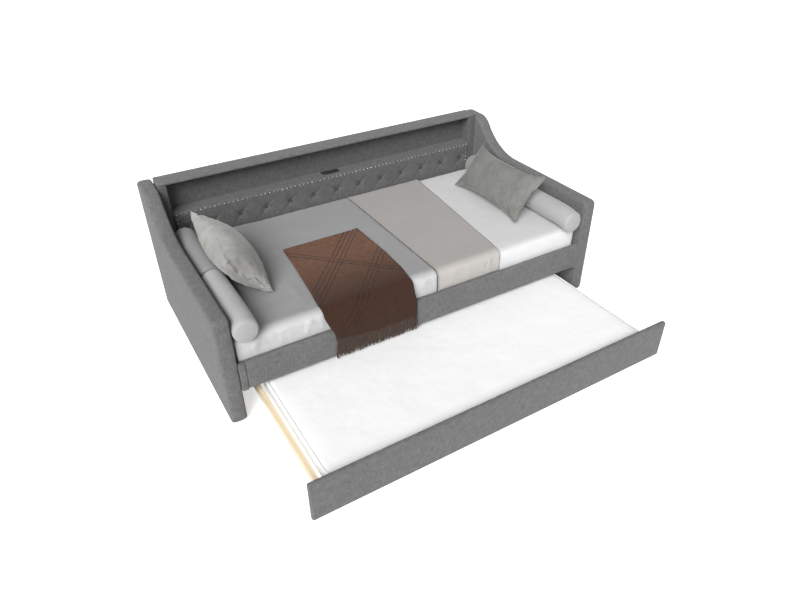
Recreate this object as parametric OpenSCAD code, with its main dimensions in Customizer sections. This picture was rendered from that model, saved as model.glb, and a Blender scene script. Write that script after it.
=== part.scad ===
// Upholstered daybed with a shelf headboard and a roll-out trundle.
// Millimetres. X runs along the bed, +Y to the headboard, +Z up.
// The origin is on the floor, under the middle of the whole object as it stands,
// with the trundle part of the way out.

/* [Overall] */
// Length of the daybed over both arms
bed_l = 2060; // [2030:5:2100]
// Depth of the daybed over an arm
bed_d = 1125; // [1120:1:1140]
// How far the trundle front stands out from the arms at rest
trundle_out = 635; // [560:5:660]

/* [Arms] */
// Thickness of an upholstered arm
arm_t = 71; // [66:1:76]
// Height of an arm at the headboard
arm_h = 735; // [725:1:745]
// Height of the low part of an arm
arm_low = 559; // [550:1:570]
// Length of the high flat at the back of an arm
arm_flat = 117; // [110:1:125]
// Length of the curve between the two heights
curve_run = 360; // [340:5:400]
// Radius of the upper bend of that curve
curve_r = 110; // [90:5:130]
// Radius of the front corners
corner_r = 26; // [22:1:30]
// Thickness of the board inside an arm
core_t = 25; // [18:1:30]
// Padding over the edges of that board
edge_pad = 20; // [14:1:21]

/* [Headboard] */
// Height of the headboard
head_h = 748; // [745:1:760]
// Depth of the shelf box
head_d = 104; // [100:1:106]
// Gap from the back of the arms to the back of the headboard
head_set = 38; // [36:1:40]
// Height of the shelf's upper face
shelf_z = 577; // [565:1:585]
// Width of an upright beside the shelf
stile_w = 42; // [36:1:50]
// Spacing of the tufting buttons
button_pitch = 142.5; // [130:0.5:143]
// Number of tufting buttons
button_n = 13; // [9:2:13]
// Spacing of the nailheads
nail_pitch = 25; // [24:1:30]

/* [Rails and slats] */
// Height of the underside of the front rail
rail_z0 = 175; // [172:1:180]
// Height of the top of the front rail
rail_z1 = 315; // [305:1:330]
// Thickness of the upholstered front rail
rail_t = 28; // [26:1:30]
// Width of the upholstered strip at each end of the front rail
strip_w = 31; // [26:1:36]
// Number of slats under the upper mattress
slat_n = 13; // [9:1:13]

/* [Mattresses and dressing] */
// Length of the upper mattress
mat_l = 1905; // [1880:5:1905]
// Height of the upper mattress's top
mat_z1 = 422; // [415:1:426]
// Length of the trundle mattress
tmat_l = 1690; // [1640:5:1700]
// Height of the trundle mattress's top
tmat_z1 = 157; // [140:1:158]
// Radius of a bolster
bolster_r = 58; // [50:1:58]
// Length of a bolster
bolster_l = 455; // [430:5:455]

/* [Trundle] */
// Length of the upholstered trundle front
front_l = 1875; // [1850:5:1890]
// Height of the top of the trundle front
front_z1 = 204; // [200:1:206]
// Thickness of the trundle front
front_t = 28; // [26:1:30]
// Depth of the trundle frame behind its front
frame_d = 950; // [940:5:950]
// Distance from the middle to the outer face of a side rail
side_x = 881; // [870:1:890]
// Radius of a caster wheel
wheel_r = 20; // [19:0.5:20.5]
// Number of slats under the trundle mattress
tslat_n = 11; // [8:1:12]

/* [Hidden] */

$fn = 64;
eps = 1;                                  // how far a cutter runs past a face
linen = [0.42, 0.42, 0.43];               // colours of the finishes
pine = [0.86, 0.74, 0.55];
steel = [0.62, 0.63, 0.65];

// Places of the daybed
back_y = (bed_d + trundle_out) / 2;       // back edge of the arms
front_y = back_y - bed_d;                 // front edge of the arms
inner_x = bed_l / 2 - arm_t;              // inner face of an arm
glide_h = 3;                              // feet under the arms
curve_y1 = back_y - arm_flat;             // upper end of the arm's curve
curve_y0 = curve_y1 - curve_run;          // lower end of it
drop = arm_h - arm_low;
curve_r2 = (curve_run * curve_run + drop * drop) / (2 * drop) - curve_r;
curve_a = 2 * atan(drop / curve_run);     // slope where the two bends meet
core_x = (arm_t - core_t) / 2;            // padding on an arm's faces
board_t = 18;                             // boards of the headboard and rails
head_back = back_y - head_set;
head_front = head_back - head_d;
top_t = 15;                               // thickness of the top board
joint_gap = 3;                            // gap between a stile and its arm
stile_x = inner_x - joint_gap - stile_w;  // inner face of a stile
tuft_t = 22;                              // thickness of the tufted panel
tuft_z0 = 320;
tuft_z1 = shelf_z + 3;
button_z = 486;
nail_z = tuft_z1 - 12;
nail_r = 4.5;

// Places of the rails and slats
rail_back = front_y + rail_t;
rear_front = head_front;                  // front face of the rear rail
ledger_z0 = 195;
ledger_z1 = 220;
ledger_w = 25;
ledger_x = inner_x - 110;
slat_t = 15;
slat_w = 70;
slat_z = ledger_z1;
slat_pitch = 1632 / (slat_n - 1);
bracket_t = 3;
bracket_z0 = 178;
bracket_h = 38;
bracket_leg = 60;
bolt_r = 4;

// Places of the soft goods
mat_z0 = slat_z + slat_t;
mat_y0 = rail_back + 5;
mat_y1 = head_front - 5;
cloth_t = 6;                              // thickness of a blanket or throw
blanket_z = mat_z1 + 0.2;
silver_x1 = 55;                           // where the silver blanket ends
taupe_x0 = 58;                            // where the taupe blanket starts
taupe_back = 535;                         // its far edge at the back
taupe_front = 435;                        // and at the front
throw_x0 = -500;                          // left edge of the throw at the back
throw_front_x0 = -556;                    // at the rail
throw_hem_x0 = -505;                      // and at the ends of its fringe
throw_x1 = -82;
throw_back = 353;                         // back edge of the throw
throw_z0 = 168;                           // ends of its fringe
throw_z = blanket_z + cloth_t + 0.2;
pillow_l = 560;
pillow_w = 275;
pillow_t = 144;
pillow_x = [776, 757];                    // left and right
pillow_y = [289, 240];
pillow_z = 545;
pillow_lean = 49;
bolster_back = head_front - 83;           // back end of the rear bolsters
bolster_x = [inner_x - bolster_r - 1, 880];

// Places of the trundle
panel_y = -back_y;                        // front face of the trundle front
panel_back = panel_y + front_t;
panel_z0 = 5;
cover_t = 5;                              // padding over the panel's ends and top
frame_z0 = 44;
frame_z1 = 110;
side_z0 = 66;
frame_t = 20;
frame_y1 = panel_back + frame_d;
tledger_w = 44;
tledger_h = 18;
tslat_z = frame_z0 + tledger_h;
tslat_t = 12;
tslat_pitch = 1600 / (tslat_n - 1);
caster_x = 700;
axle_r = 3;
plate_t = 2;
wheel_w = 16;
fork_gap = 18;
front_caster_y = panel_back + frame_t + tledger_w / 2;
rear_caster_y = frame_y1 - frame_t - tledger_w / 2;

// A box from its two opposite corners
module block(a, b) {
    translate(a) cube(b - a);
}

// The same shape on the right (s = 1) or the left (s = -1)
module side(s) {
    if (s > 0) children();
    else mirror([1, 0, 0]) children();
}

// What is cut away to round the corner at p; u and v point into the body
module corner_cut(p, u, v, r) {
    difference() {
        translate([p[0] + u * (r - eps) / 2, p[1] + v * (r - eps) / 2])
            square(r + eps, center = true);
        translate([p[0] + u * r, p[1] + v * r]) circle(r);
    }
}

// Flat plate with round corners
module round_plate(w, d, r) {
    square([w - 2 * r, d], center = true);
    square([w, d - 2 * r], center = true);
    for (i = [-1, 1], j = [-1, 1])
        translate([i * (w / 2 - r), j * (d / 2 - r)]) circle(r);
}

// Side outline of an arm in Y and Z, set in by i
module arm_profile(i) {
    r1 = curve_r - i;
    r2 = curve_r2 + i;
    join_y = curve_y1 - r1 * sin(curve_a);
    join_z = arm_h - curve_r + r1 * cos(curve_a);
    low = arm_low - i;
    difference() {
        union() {
            translate([front_y + i, glide_h]) square([curve_y0 - front_y - i, low - glide_h]);
            difference() {
                translate([curve_y0, glide_h]) square([join_y - curve_y0, join_z - glide_h]);
                translate([curve_y0, arm_low + curve_r2]) circle(r2, $fn = 128);
            }
            translate([join_y, glide_h])
                square([curve_y1 - join_y, arm_h - curve_r - glide_h]);
            intersection() {
                translate([curve_y1, arm_h - curve_r]) circle(r1);
                translate([join_y, arm_h - 2 * curve_r])
                    square([curve_y1 - join_y, 2 * curve_r]);
            }
            translate([curve_y1, glide_h]) square([back_y - i - curve_y1, arm_h - i - glide_h]);
        }
        corner_cut([front_y + i, low], 1, -1, corner_r - i);
        corner_cut([back_y - i, arm_h - i], -1, -1, corner_r - i);
        if (i == 0) corner_cut([front_y, glide_h], 1, 1, corner_r);
    }
}

// Slab of that outline, t thick, x from the arm's inner face
module arm_slab(i, x, t) {
    translate([inner_x + x, 0, 0]) rotate([90, 0, 90]) linear_extrude(t) arm_profile(i);
}

// Places of the bolts: on the arm face and on the rail face of each bracket
arm_bolts = [for (y = [rail_back + 24, rail_back + 48, rear_front - 24, rear_front - 48]) y];
rail_bolts = [for (x = [inner_x - strip_w - 18, inner_x - strip_w - 42]) x];
bolt_z = bracket_z0 + bracket_h / 2;

module arm_bolt_holes(r, x0, x1) {
    for (y = arm_bolts)
        translate([x0, y, bolt_z]) rotate([0, 90, 0]) cylinder(r = r, h = x1 - x0);
}

arm_hole_end = inner_x + core_x + 14;

module arm_frame(s) {
    color(pine) side(s) difference() {
        arm_slab(edge_pad, core_x, core_t);
        arm_bolt_holes(bolt_r, inner_x, arm_hole_end);
    }
}

module arm_cover(s) {
    color(linen) side(s) difference() {
        arm_slab(0, 0, arm_t);
        arm_slab(edge_pad, core_x, core_t);
        block([inner_x + core_x, front_y + edge_pad, glide_h - eps],
              [inner_x + core_x + core_t, back_y - edge_pad, glide_h + eps]);
        arm_bolt_holes(bolt_r, inner_x - eps, arm_hole_end);
    }
}

module left_arm_frame() { arm_frame(-1); }
module right_arm_frame() { arm_frame(1); }
module left_arm_cover() { arm_cover(-1); }
module right_arm_cover() { arm_cover(1); }

module headboard_back_panel() {
    color(linen)
        block([-inner_x + joint_gap, head_back - board_t, rail_z0],
              [inner_x - joint_gap, head_back, head_h - top_t]);
}

module headboard_top_board() {
    color(linen)
        block([-inner_x + joint_gap, head_front, head_h - top_t],
              [inner_x - joint_gap, head_back, head_h]);
}

module stile(s) {
    color(linen) side(s)
        block([stile_x, head_front, tuft_z0],
              [inner_x - joint_gap, head_back - board_t, head_h - top_t]);
}

module left_stile() { stile(-1); }
module right_stile() { stile(1); }

// The charging point is let into the shelf
module_x = -12;
module_y = head_back - board_t - 32;
module_w = 96;
module_d = 38;
module_h = 42;
plate_rim = 4;
plate_h = 3;
slot_w = 9;
slot_d = 3.2;
gland_h = 10;

module plate_block(top) {
    block([module_x - module_w / 2 - plate_rim, module_y - module_d / 2 - plate_rim,
           shelf_z - plate_h],
          [module_x + module_w / 2 + plate_rim, module_y + module_d / 2 + plate_rim, top]);
}

module shelf_board() {
    color(linen) difference() {
        block([-stile_x, head_front + tuft_t, shelf_z - board_t],
              [stile_x, head_back - board_t, shelf_z]);
        block([module_x - module_w / 2, module_y - module_d / 2, shelf_z - board_t - eps],
              [module_x + module_w / 2, module_y + module_d / 2, shelf_z + eps]);
        // rebate, so that the faceplate sits flush
        plate_block(shelf_z + eps);
    }
}

module tufted_panel() {
    color(linen)
        block([-stile_x, head_front, tuft_z0], [stile_x, head_front + tuft_t, tuft_z1]);
}

module tufting_buttons() {
    color([0.36, 0.36, 0.37])
    for (i = [0 : button_n - 1])
        translate([(i - (button_n - 1) / 2) * button_pitch, head_front, button_z])
            rotate([90, 0, 0]) cylinder(r = 9, h = 4);
}

// A row along the top edge, and a short row down each end
nail_count = floor(2 * (stile_x - 12) / nail_pitch);
module nail(x, z) {
    translate([x, head_front, z]) rotate([90, 0, 0]) cylinder(r = nail_r, h = 2.5, $fn = 24);
}
module nailhead_trim() {
    color([0.78, 0.78, 0.8]) {
        for (i = [0 : nail_count]) nail((i - nail_count / 2) * nail_pitch, nail_z);
        for (s = [-1, 1], k = [1 : 5])
            nail(s * nail_count / 2 * nail_pitch, nail_z - k * nail_pitch);
    }
}

module charging_slot(k, z0, z1) {
    block([module_x + k * 28 - slot_w / 2, module_y - slot_d / 2, z0],
          [module_x + k * 28 + slot_w / 2, module_y + slot_d / 2, z1]);
}

module charging_module() {
    color([0.12, 0.12, 0.13]) difference() {
        block([module_x - module_w / 2, module_y - module_d / 2, shelf_z - module_h],
              [module_x + module_w / 2, module_y + module_d / 2, shelf_z - plate_h]);
        for (k = [-1, 1]) charging_slot(k, shelf_z - 15, shelf_z - plate_h + eps);
    }
    // blank gland for the mains lead
    color([0.12, 0.12, 0.13]) translate([module_x, module_y, shelf_z - module_h - gland_h])
        cylinder(r = 6, h = gland_h);
}

module charging_faceplate() {
    color([0.16, 0.16, 0.17]) difference() {
        plate_block(shelf_z);
        for (k = [-1, 1]) charging_slot(k, shelf_z - plate_h - eps, shelf_z + eps);
    }
}

// Front rail: a board in a linen sleeve, between two upholstered strips
rail_x = inner_x - strip_w - 2;
rail_pad = 5;
rail_board_back = rail_back - rail_pad;

module rail_bolt_holes(y0, y1) {
    for (s = [-1, 1], x = rail_bolts)
        translate([s * x, y1, bolt_z]) rotate([90, 0, 0]) cylinder(r = bolt_r, h = y1 - y0);
}

module front_rail_board() {
    color(pine) difference() {
        block([-rail_x, front_y + rail_pad, rail_z0 + rail_pad],
              [rail_x, rail_board_back, rail_z1 - rail_pad]);
        rail_bolt_holes(front_y + rail_pad + 4, rail_board_back + eps);
    }
}

module front_rail_cover() {
    color(linen) difference() {
        translate([-rail_x, (front_y + rail_back) / 2, (rail_z0 + rail_z1) / 2])
            rotate([90, 0, 90]) linear_extrude(2 * rail_x) round_plate(rail_t, rail_z1 - rail_z0, 5);
        block([-rail_x - eps, front_y + rail_pad, rail_z0 + rail_pad],
              [rail_x + eps, rail_board_back, rail_z1 - rail_pad]);
        rail_bolt_holes(front_y + rail_pad + 4, rail_back + eps);
    }
}

module rail_strip(s) {
    color(linen) side(s)
        block([inner_x - strip_w, front_y, rail_z0 - 5], [inner_x, rail_back, rail_z1]);
}
module left_rail_strip() { rail_strip(-1); }
module right_rail_strip() { rail_strip(1); }

module rear_rail() {
    color(pine) difference() {
        block([-inner_x + joint_gap, rear_front, rail_z0],
              [inner_x - joint_gap, rear_front + tuft_t, tuft_z0]);
        rail_bolt_holes(rear_front - eps, rear_front + 14);
    }
}

// Screws that hold the slats
screw_r = 2;
screw_head_r = 4;
slat_end = 12;                            // from a slat's end to its screw
slat_y0 = rail_back + 2;
slat_y1 = rear_front - 2;
slat_xs = [for (i = [0 : slat_n - 1]) (i - (slat_n - 1) / 2) * slat_pitch];

module slat_ledgers() {
    color(pine) difference() {
        for (y = [rail_back, rear_front - ledger_w])
            block([-ledger_x, y, ledger_z0], [ledger_x, y + ledger_w, ledger_z1]);
        for (x = slat_xs, y = [slat_y0 + slat_end, slat_y1 - slat_end])
            translate([x, y, ledger_z1 - 15]) cylinder(r = screw_r, h = 15 + eps);
    }
}

module bed_slats() {
    color(pine) for (x = slat_xs) difference() {
        block([x - slat_w / 2, slat_y0, slat_z], [x + slat_w / 2, slat_y1, slat_z + slat_t]);
        for (y = [slat_y0 + slat_end, slat_y1 - slat_end])
            translate([x, y, slat_z - eps]) {
                cylinder(r = screw_r, h = slat_t + 2 * eps);
                translate([0, 0, slat_t + eps - 3]) cylinder(r = screw_head_r, h = 3 + eps);
            }
    }
}

module slat_straps() {
    color([0.2, 0.2, 0.22]) for (k = [-1, 1])
        translate([0, (slat_y0 + slat_y1) / 2 + k * 250, slat_z - 1])
            cube([2 * slat_xs[slat_n - 1] + slat_w, 30, 2], center = true);
}

// Countersunk screw whose head ends at the origin, pointing down
module screw(length) {
    translate([0, 0, -3]) cylinder(r = screw_head_r - 0.05, h = 3);
    translate([0, 0, -length]) cylinder(r = screw_r - 0.05, h = length - 3);
}

module slat_screws() {
    color(steel) for (x = slat_xs, y = [slat_y0 + slat_end, slat_y1 - slat_end])
        translate([x, y, slat_z + slat_t]) screw(slat_t + 14);
}

// Steel angles in the four inner corners under the slats
module bracket(s, y, v) {
    side(s) difference() {
        union() {
            block([inner_x - bracket_t, min(y, y + v * bracket_leg), bracket_z0],
                  [inner_x, max(y, y + v * bracket_leg), bracket_z0 + bracket_h]);
            block([inner_x - strip_w - bracket_leg, min(y, y + v * bracket_t), bracket_z0],
                  [inner_x - bracket_t, max(y, y + v * bracket_t), bracket_z0 + bracket_h]);
        }
        arm_bolt_holes(bolt_r, inner_x - bracket_t - eps, inner_x + eps);
        for (x = rail_bolts)
            translate([x, y + 5, bolt_z]) rotate([90, 0, 0]) cylinder(r = bolt_r, h = 10);
    }
}

module corner_brackets() {
    color(steel) for (s = [-1, 1]) {
        bracket(s, rail_back, 1);
        bracket(s, rear_front, -1);
    }
}

// Hexagon bolt along +Z from the underside of its head
module bolt(length) {
    translate([0, 0, -5]) cylinder(r = 7, h = 5, $fn = 6);
    cylinder(r = bolt_r - 0.05, h = length);
}

module frame_bolts() {
    color(steel) for (s = [-1, 1]) side(s) {
        for (y = arm_bolts)
            translate([inner_x - bracket_t, y, bolt_z]) rotate([0, 90, 0])
                bolt(bracket_t + core_x + 12);
        for (x = rail_bolts) {
            translate([x, rail_back + bracket_t, bolt_z]) rotate([90, 0, 0])
                bolt(bracket_t + rail_pad + 12);
            translate([x, rear_front - bracket_t, bolt_z]) rotate([-90, 0, 0])
                bolt(bracket_t + 12);
        }
    }
}

module foot_glides() {
    color([0.1, 0.1, 0.1]) for (s = [-1, 1], y = [front_y + 60, back_y - 60])
        translate([s * (inner_x + arm_t / 2), y, 0]) cylinder(r = 17, h = glide_h);
}

// Soft goods, as plain solids
module daybed_mattress() {
    color("white") translate([0, (mat_y0 + mat_y1) / 2, mat_z0])
        linear_extrude(mat_z1 - mat_z0) round_plate(mat_l, mat_y1 - mat_y0, 30);
}

drop_y = mat_y0 - 0.3;                    // back of the part that hangs in front
drop_z = rail_z1 + 1;
module silver_blanket() {
    color([0.66, 0.66, 0.68]) {
        block([-mat_l / 2 + 30, drop_y - 4, blanket_z],
              [silver_x1, mat_y1 - 8, blanket_z + cloth_t]);
        block([-mat_l / 2 + 30, drop_y - 4, drop_z], [silver_x1, drop_y, blanket_z]);
    }
}

module taupe_blanket() {
    color([0.64, 0.62, 0.6]) {
        translate([0, 0, blanket_z]) linear_extrude(cloth_t)
            polygon([[taupe_x0, drop_y - 4], [taupe_front, drop_y - 4],
                     [taupe_back, mat_y1 - 8], [taupe_x0, mat_y1 - 8]]);
        block([taupe_x0, drop_y - 4, drop_z], [taupe_front, drop_y, blanket_z]);
    }
}

throw_y = front_y - 0.5;                  // back of the throw where it hangs
module brown_throw() {
    color([0.36, 0.24, 0.2]) {
        translate([0, 0, throw_z]) linear_extrude(cloth_t)
            polygon([[throw_front_x0, throw_y - cloth_t], [throw_x1, throw_y - cloth_t],
                     [throw_x1, throw_back], [throw_x0, throw_back]]);
        translate([0, throw_y, 0]) rotate([90, 0, 0]) linear_extrude(cloth_t)
            polygon([[throw_hem_x0, throw_z0], [throw_x1, throw_z0],
                     [throw_x1, throw_z], [throw_front_x0, throw_z]]);
    }
}

// Lens of two cylinder faces, w wide, t thick, along Y
module lens(w, t, l) {
    r = (w * w / 4 + t * t / 4) / t;
    intersection_for (k = [-1, 1])
        translate([0, 0, k * (r - t / 2)]) rotate([90, 0, 0])
            cylinder(r = r, h = l, center = true, $fn = 180);
}

module pillow(s) {
    i = s < 0 ? 0 : 1;
    color([0.64, 0.64, 0.62]) side(s)
        translate([pillow_x[i], pillow_y[i], pillow_z]) rotate([0, -pillow_lean, 0])
            intersection() {
                lens(pillow_w, pillow_t, pillow_l);
                rotate([0, 0, 90]) lens(pillow_l, pillow_t, pillow_w);
            }
}
module left_pillow() { pillow(-1); }
module right_pillow() { pillow(1); }

module bolster(s, i) {
    lift = s < 0 ? cloth_t + 0.5 : 0.5;
    x = s * bolster_x[s < 0 ? 0 : 1];
    color([0.7, 0.7, 0.71])
        translate([x, bolster_back - i * (bolster_l + 4), mat_z1 + lift + bolster_r])
            rotate([90, 0, 0]) cylinder(r = bolster_r, h = bolster_l);
}
module left_back_bolster() { bolster(-1, 0); }
module left_front_bolster() { bolster(-1, 1); }
module right_back_bolster() { bolster(1, 0); }
module right_front_bolster() { bolster(1, 1); }

// Trundle front: a board in a linen cover that is open underneath
panel_bolt_xs = [-640, -220, 220, 640];
panel_bolt_z = 86;
panel_pad = 5;
module panel_board_block(down) {
    block([-front_l / 2 + cover_t, panel_y + panel_pad, panel_z0 - down],
          [front_l / 2 - cover_t, panel_back - panel_pad, front_z1 - cover_t]);
}
module panel_bolt_holes(y0, y1) {
    for (x = panel_bolt_xs)
        translate([x, y1, panel_bolt_z]) rotate([90, 0, 0]) cylinder(r = bolt_r, h = y1 - y0);
}

module trundle_front_board() {
    color(pine) difference() {
        panel_board_block(0);
        panel_bolt_holes(panel_back - panel_pad - 12, panel_back);
    }
}

module trundle_front_cover() {
    color(linen) difference() {
        translate([0, (panel_y + panel_back) / 2, panel_z0])
            linear_extrude(front_z1 - panel_z0) round_plate(front_l, front_t, 10);
        panel_board_block(eps);
        panel_bolt_holes(panel_back - panel_pad - eps, panel_back + eps);
    }
}

module trundle_side_rail(s) {
    color(pine) side(s)
        block([side_x - frame_t, panel_back, side_z0], [side_x, frame_y1, frame_z1]);
}
module trundle_left_rail() { trundle_side_rail(-1); }
module trundle_right_rail() { trundle_side_rail(1); }

module trundle_front_rail() {
    color(pine) difference() {
        block([-side_x + frame_t, panel_back, frame_z0],
              [side_x - frame_t, panel_back + frame_t, frame_z1]);
        panel_bolt_holes(panel_back - eps, panel_back + frame_t + eps);
    }
}

module trundle_rear_rail() {
    color(pine)
        block([-side_x + frame_t, frame_y1 - frame_t, frame_z0],
              [side_x - frame_t, frame_y1, frame_z1]);
}

module panel_bolts() {
    color(steel) for (x = panel_bolt_xs)
        translate([x, panel_back + frame_t, panel_bolt_z]) rotate([90, 0, 0])
            bolt(frame_t + panel_pad + 11);
}

tslat_y0 = panel_back + frame_t + 6;
tslat_y1 = frame_y1 - frame_t - 1;
tslat_xs = [for (i = [0 : tslat_n - 1]) (i - (tslat_n - 1) / 2) * tslat_pitch];
tscrew_ys = [tslat_y0 + 15, tslat_y1 - 15];
caster_ys = [front_caster_y, rear_caster_y];
plate_screws = [for (s = [-1, 1], y = caster_ys, i = [-1, 1], j = [-1, 1])
                [s * caster_x + i * 24, y + j * 16]];

module trundle_ledgers() {
    color(pine) difference() {
        for (y = [panel_back + frame_t, frame_y1 - frame_t - tledger_w])
            block([-side_x + frame_t, y, frame_z0], [side_x - frame_t, y + tledger_w, tslat_z]);
        for (x = tslat_xs, y = tscrew_ys)
            translate([x, y, tslat_z - 11]) cylinder(r = screw_r, h = 11 + eps);
        for (p = plate_screws)
            translate([p[0], p[1], frame_z0 - eps]) cylinder(r = screw_r, h = 5 + eps);
    }
}

module trundle_slats() {
    color(pine) for (x = tslat_xs) difference() {
        block([x - slat_w / 2, tslat_y0, tslat_z], [x + slat_w / 2, tslat_y1, tslat_z + tslat_t]);
        for (y = tscrew_ys) translate([x, y, tslat_z - eps]) {
            cylinder(r = screw_r, h = tslat_t + 2 * eps);
            translate([0, 0, tslat_t + eps - 3]) cylinder(r = screw_head_r, h = 3 + eps);
        }
    }
}

module trundle_screws() {
    color(steel) {
        for (x = tslat_xs, y = tscrew_ys)
            translate([x, y, tslat_z + tslat_t]) screw(tslat_t + 10);
        for (p = plate_screws) translate([p[0], p[1], frame_z0 - plate_t]) {
            translate([0, 0, -1.5]) cylinder(r = screw_head_r, h = 1.5);
            cylinder(r = screw_r - 0.05, h = plate_t + 4.5);
        }
    }
}

module trundle_mattress() {
    y0 = panel_back + frame_t + 7;
    y1 = frame_y1 - frame_t - 4;
    color("white") translate([0, (y0 + y1) / 2, tslat_z + tslat_t])
        linear_extrude(tmat_z1 - tslat_z - tslat_t) round_plate(tmat_l, y1 - y0, 60);
}

// Casters: a bent steel fork, a riveted axle and a solid wheel
module fork(s, y) {
    color(steel) translate([s * caster_x, y, 0]) difference() {
        union() {
            block([-30, -tledger_w / 2, frame_z0 - plate_t], [30, tledger_w / 2, frame_z0]);
            for (k = [-1, 1]) {
                block([k * (fork_gap / 2 + 1) - 1, -11, wheel_r],
                      [k * (fork_gap / 2 + 1) + 1, 11, frame_z0 - plate_t]);
                translate([k * (fork_gap / 2 + 1) - 1, 0, wheel_r]) rotate([0, 90, 0])
                    cylinder(r = 11, h = 2);
            }
        }
        translate([-20, 0, wheel_r]) rotate([0, 90, 0]) cylinder(r = axle_r + 0.02, h = 40);
        for (i = [-1, 1], j = [-1, 1])
            translate([i * 24, j * 16, frame_z0 - plate_t - eps]) cylinder(r = screw_r, h = 4);
    }
}

module axle(s, y) {
    half = fork_gap / 2 + 2;
    color(steel) translate([s * caster_x, y, wheel_r]) rotate([0, 90, 0]) {
        cylinder(r = axle_r, h = 2 * half + 2, center = true);
        for (k = [-1, 1]) translate([0, 0, k * (half + 1)])
            cylinder(r = 5, h = 2, center = true);
    }
}

module wheel(s, y) {
    color([0.15, 0.15, 0.16]) translate([s * caster_x, y, wheel_r]) rotate([0, 90, 0])
        difference() {
            cylinder(r = wheel_r, h = wheel_w, center = true, $fn = 96);
            cylinder(r = axle_r + 0.06, h = wheel_w + 2 * eps, center = true);
            for (k = [-1, 1]) translate([0, 0, k * wheel_w / 2]) difference() {
                cylinder(r = 15, h = 5, center = true);
                cylinder(r = 7, h = 6, center = true);
            }
        }
}

module front_left_fork() { fork(-1, front_caster_y); }
module front_right_fork() { fork(1, front_caster_y); }
module rear_left_fork() { fork(-1, rear_caster_y); }
module rear_right_fork() { fork(1, rear_caster_y); }
module front_left_axle() { axle(-1, front_caster_y); }
module front_right_axle() { axle(1, front_caster_y); }
module rear_left_axle() { axle(-1, rear_caster_y); }
module rear_right_axle() { axle(1, rear_caster_y); }
module front_left_wheel() { wheel(-1, front_caster_y); }
module front_right_wheel() { wheel(1, front_caster_y); }
module rear_left_wheel() { wheel(-1, rear_caster_y); }
module rear_right_wheel() { wheel(1, rear_caster_y); }

left_arm_frame();
right_arm_frame();
left_arm_cover();
right_arm_cover();
headboard_back_panel();
headboard_top_board();
left_stile();
right_stile();
shelf_board();
tufted_panel();
tufting_buttons();
nailhead_trim();
charging_module();
charging_faceplate();
front_rail_board();
front_rail_cover();
left_rail_strip();
right_rail_strip();
rear_rail();
slat_ledgers();
bed_slats();
slat_straps();
slat_screws();
corner_brackets();
frame_bolts();
foot_glides();
daybed_mattress();
silver_blanket();
taupe_blanket();
brown_throw();
left_pillow();
right_pillow();
left_back_bolster();
left_front_bolster();
right_back_bolster();
right_front_bolster();
trundle_front_board();
trundle_front_cover();
trundle_left_rail();
trundle_right_rail();
trundle_front_rail();
trundle_rear_rail();
trundle_ledgers();
trundle_slats();
trundle_screws();
panel_bolts();
trundle_mattress();
front_left_fork();
front_right_fork();
rear_left_fork();
rear_right_fork();
front_left_axle();
front_right_axle();
rear_left_axle();
rear_right_axle();
front_left_wheel();
front_right_wheel();
rear_left_wheel();
rear_right_wheel();
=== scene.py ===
import math
import bmesh
import bpy
from mathutils import Matrix, Vector, noise


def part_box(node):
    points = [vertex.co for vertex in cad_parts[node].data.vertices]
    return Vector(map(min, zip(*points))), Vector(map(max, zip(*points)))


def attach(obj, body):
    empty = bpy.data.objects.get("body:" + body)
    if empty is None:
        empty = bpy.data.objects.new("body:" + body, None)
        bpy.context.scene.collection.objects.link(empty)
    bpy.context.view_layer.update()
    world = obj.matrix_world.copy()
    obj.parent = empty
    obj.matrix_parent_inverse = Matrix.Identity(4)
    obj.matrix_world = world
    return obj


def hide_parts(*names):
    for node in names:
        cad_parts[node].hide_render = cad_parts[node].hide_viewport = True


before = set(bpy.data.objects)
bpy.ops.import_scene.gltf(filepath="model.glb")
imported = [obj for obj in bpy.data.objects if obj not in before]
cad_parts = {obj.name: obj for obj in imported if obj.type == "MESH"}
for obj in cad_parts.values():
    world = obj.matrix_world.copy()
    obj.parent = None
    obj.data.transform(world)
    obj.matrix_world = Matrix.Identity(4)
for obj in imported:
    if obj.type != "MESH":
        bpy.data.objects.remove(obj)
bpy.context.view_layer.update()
scene = bpy.context.scene
print("frame loaded")

# camera, first
shot = {"place": (-1.4109, -2.3320, 2.0620), "yaw": 30.668, "pitch": 34.987, "roll": -0.556,
        "lens": 28.8}


def addCamera():
    yaw, pitch, roll = (math.radians(shot[k]) for k in ("yaw", "pitch", "roll"))
    look = Vector((math.sin(yaw) * math.cos(pitch), math.cos(yaw) * math.cos(pitch), -math.sin(pitch)))
    right = Vector((math.cos(yaw), -math.sin(yaw), 0))
    up = right.cross(look)
    tiltedRight = right * math.cos(roll) + up * math.sin(roll)
    tiltedUp = up * math.cos(roll) - right * math.sin(roll)
    turn = Matrix((tiltedRight, tiltedUp, -look)).transposed().to_4x4()
    data = bpy.data.cameras.new("camera")
    data.lens, data.sensor_width = shot["lens"], 36
    cam = bpy.data.objects.new("camera", data)
    cam.matrix_world = Matrix.Translation(shot["place"]) @ turn
    scene.collection.objects.link(cam)
    scene.camera = cam


# studio: pale floor, soft light
studio = {"sky": 0.40, "floor": 0.76, "floorGlow": 0.6, "key": 4.3, "keyTurn": (54, 0, -46), "keySoft": 36,
          "fill": 0.1, "fillTurn": (60, 0, 70)}


def addSun(name, strength, turn, soft):
    data = bpy.data.lights.new(name, "SUN")
    data.energy, data.angle = strength, math.radians(soft)
    sun = bpy.data.objects.new(name, data)
    sun.rotation_euler = [math.radians(a) for a in turn]
    scene.collection.objects.link(sun)


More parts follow.
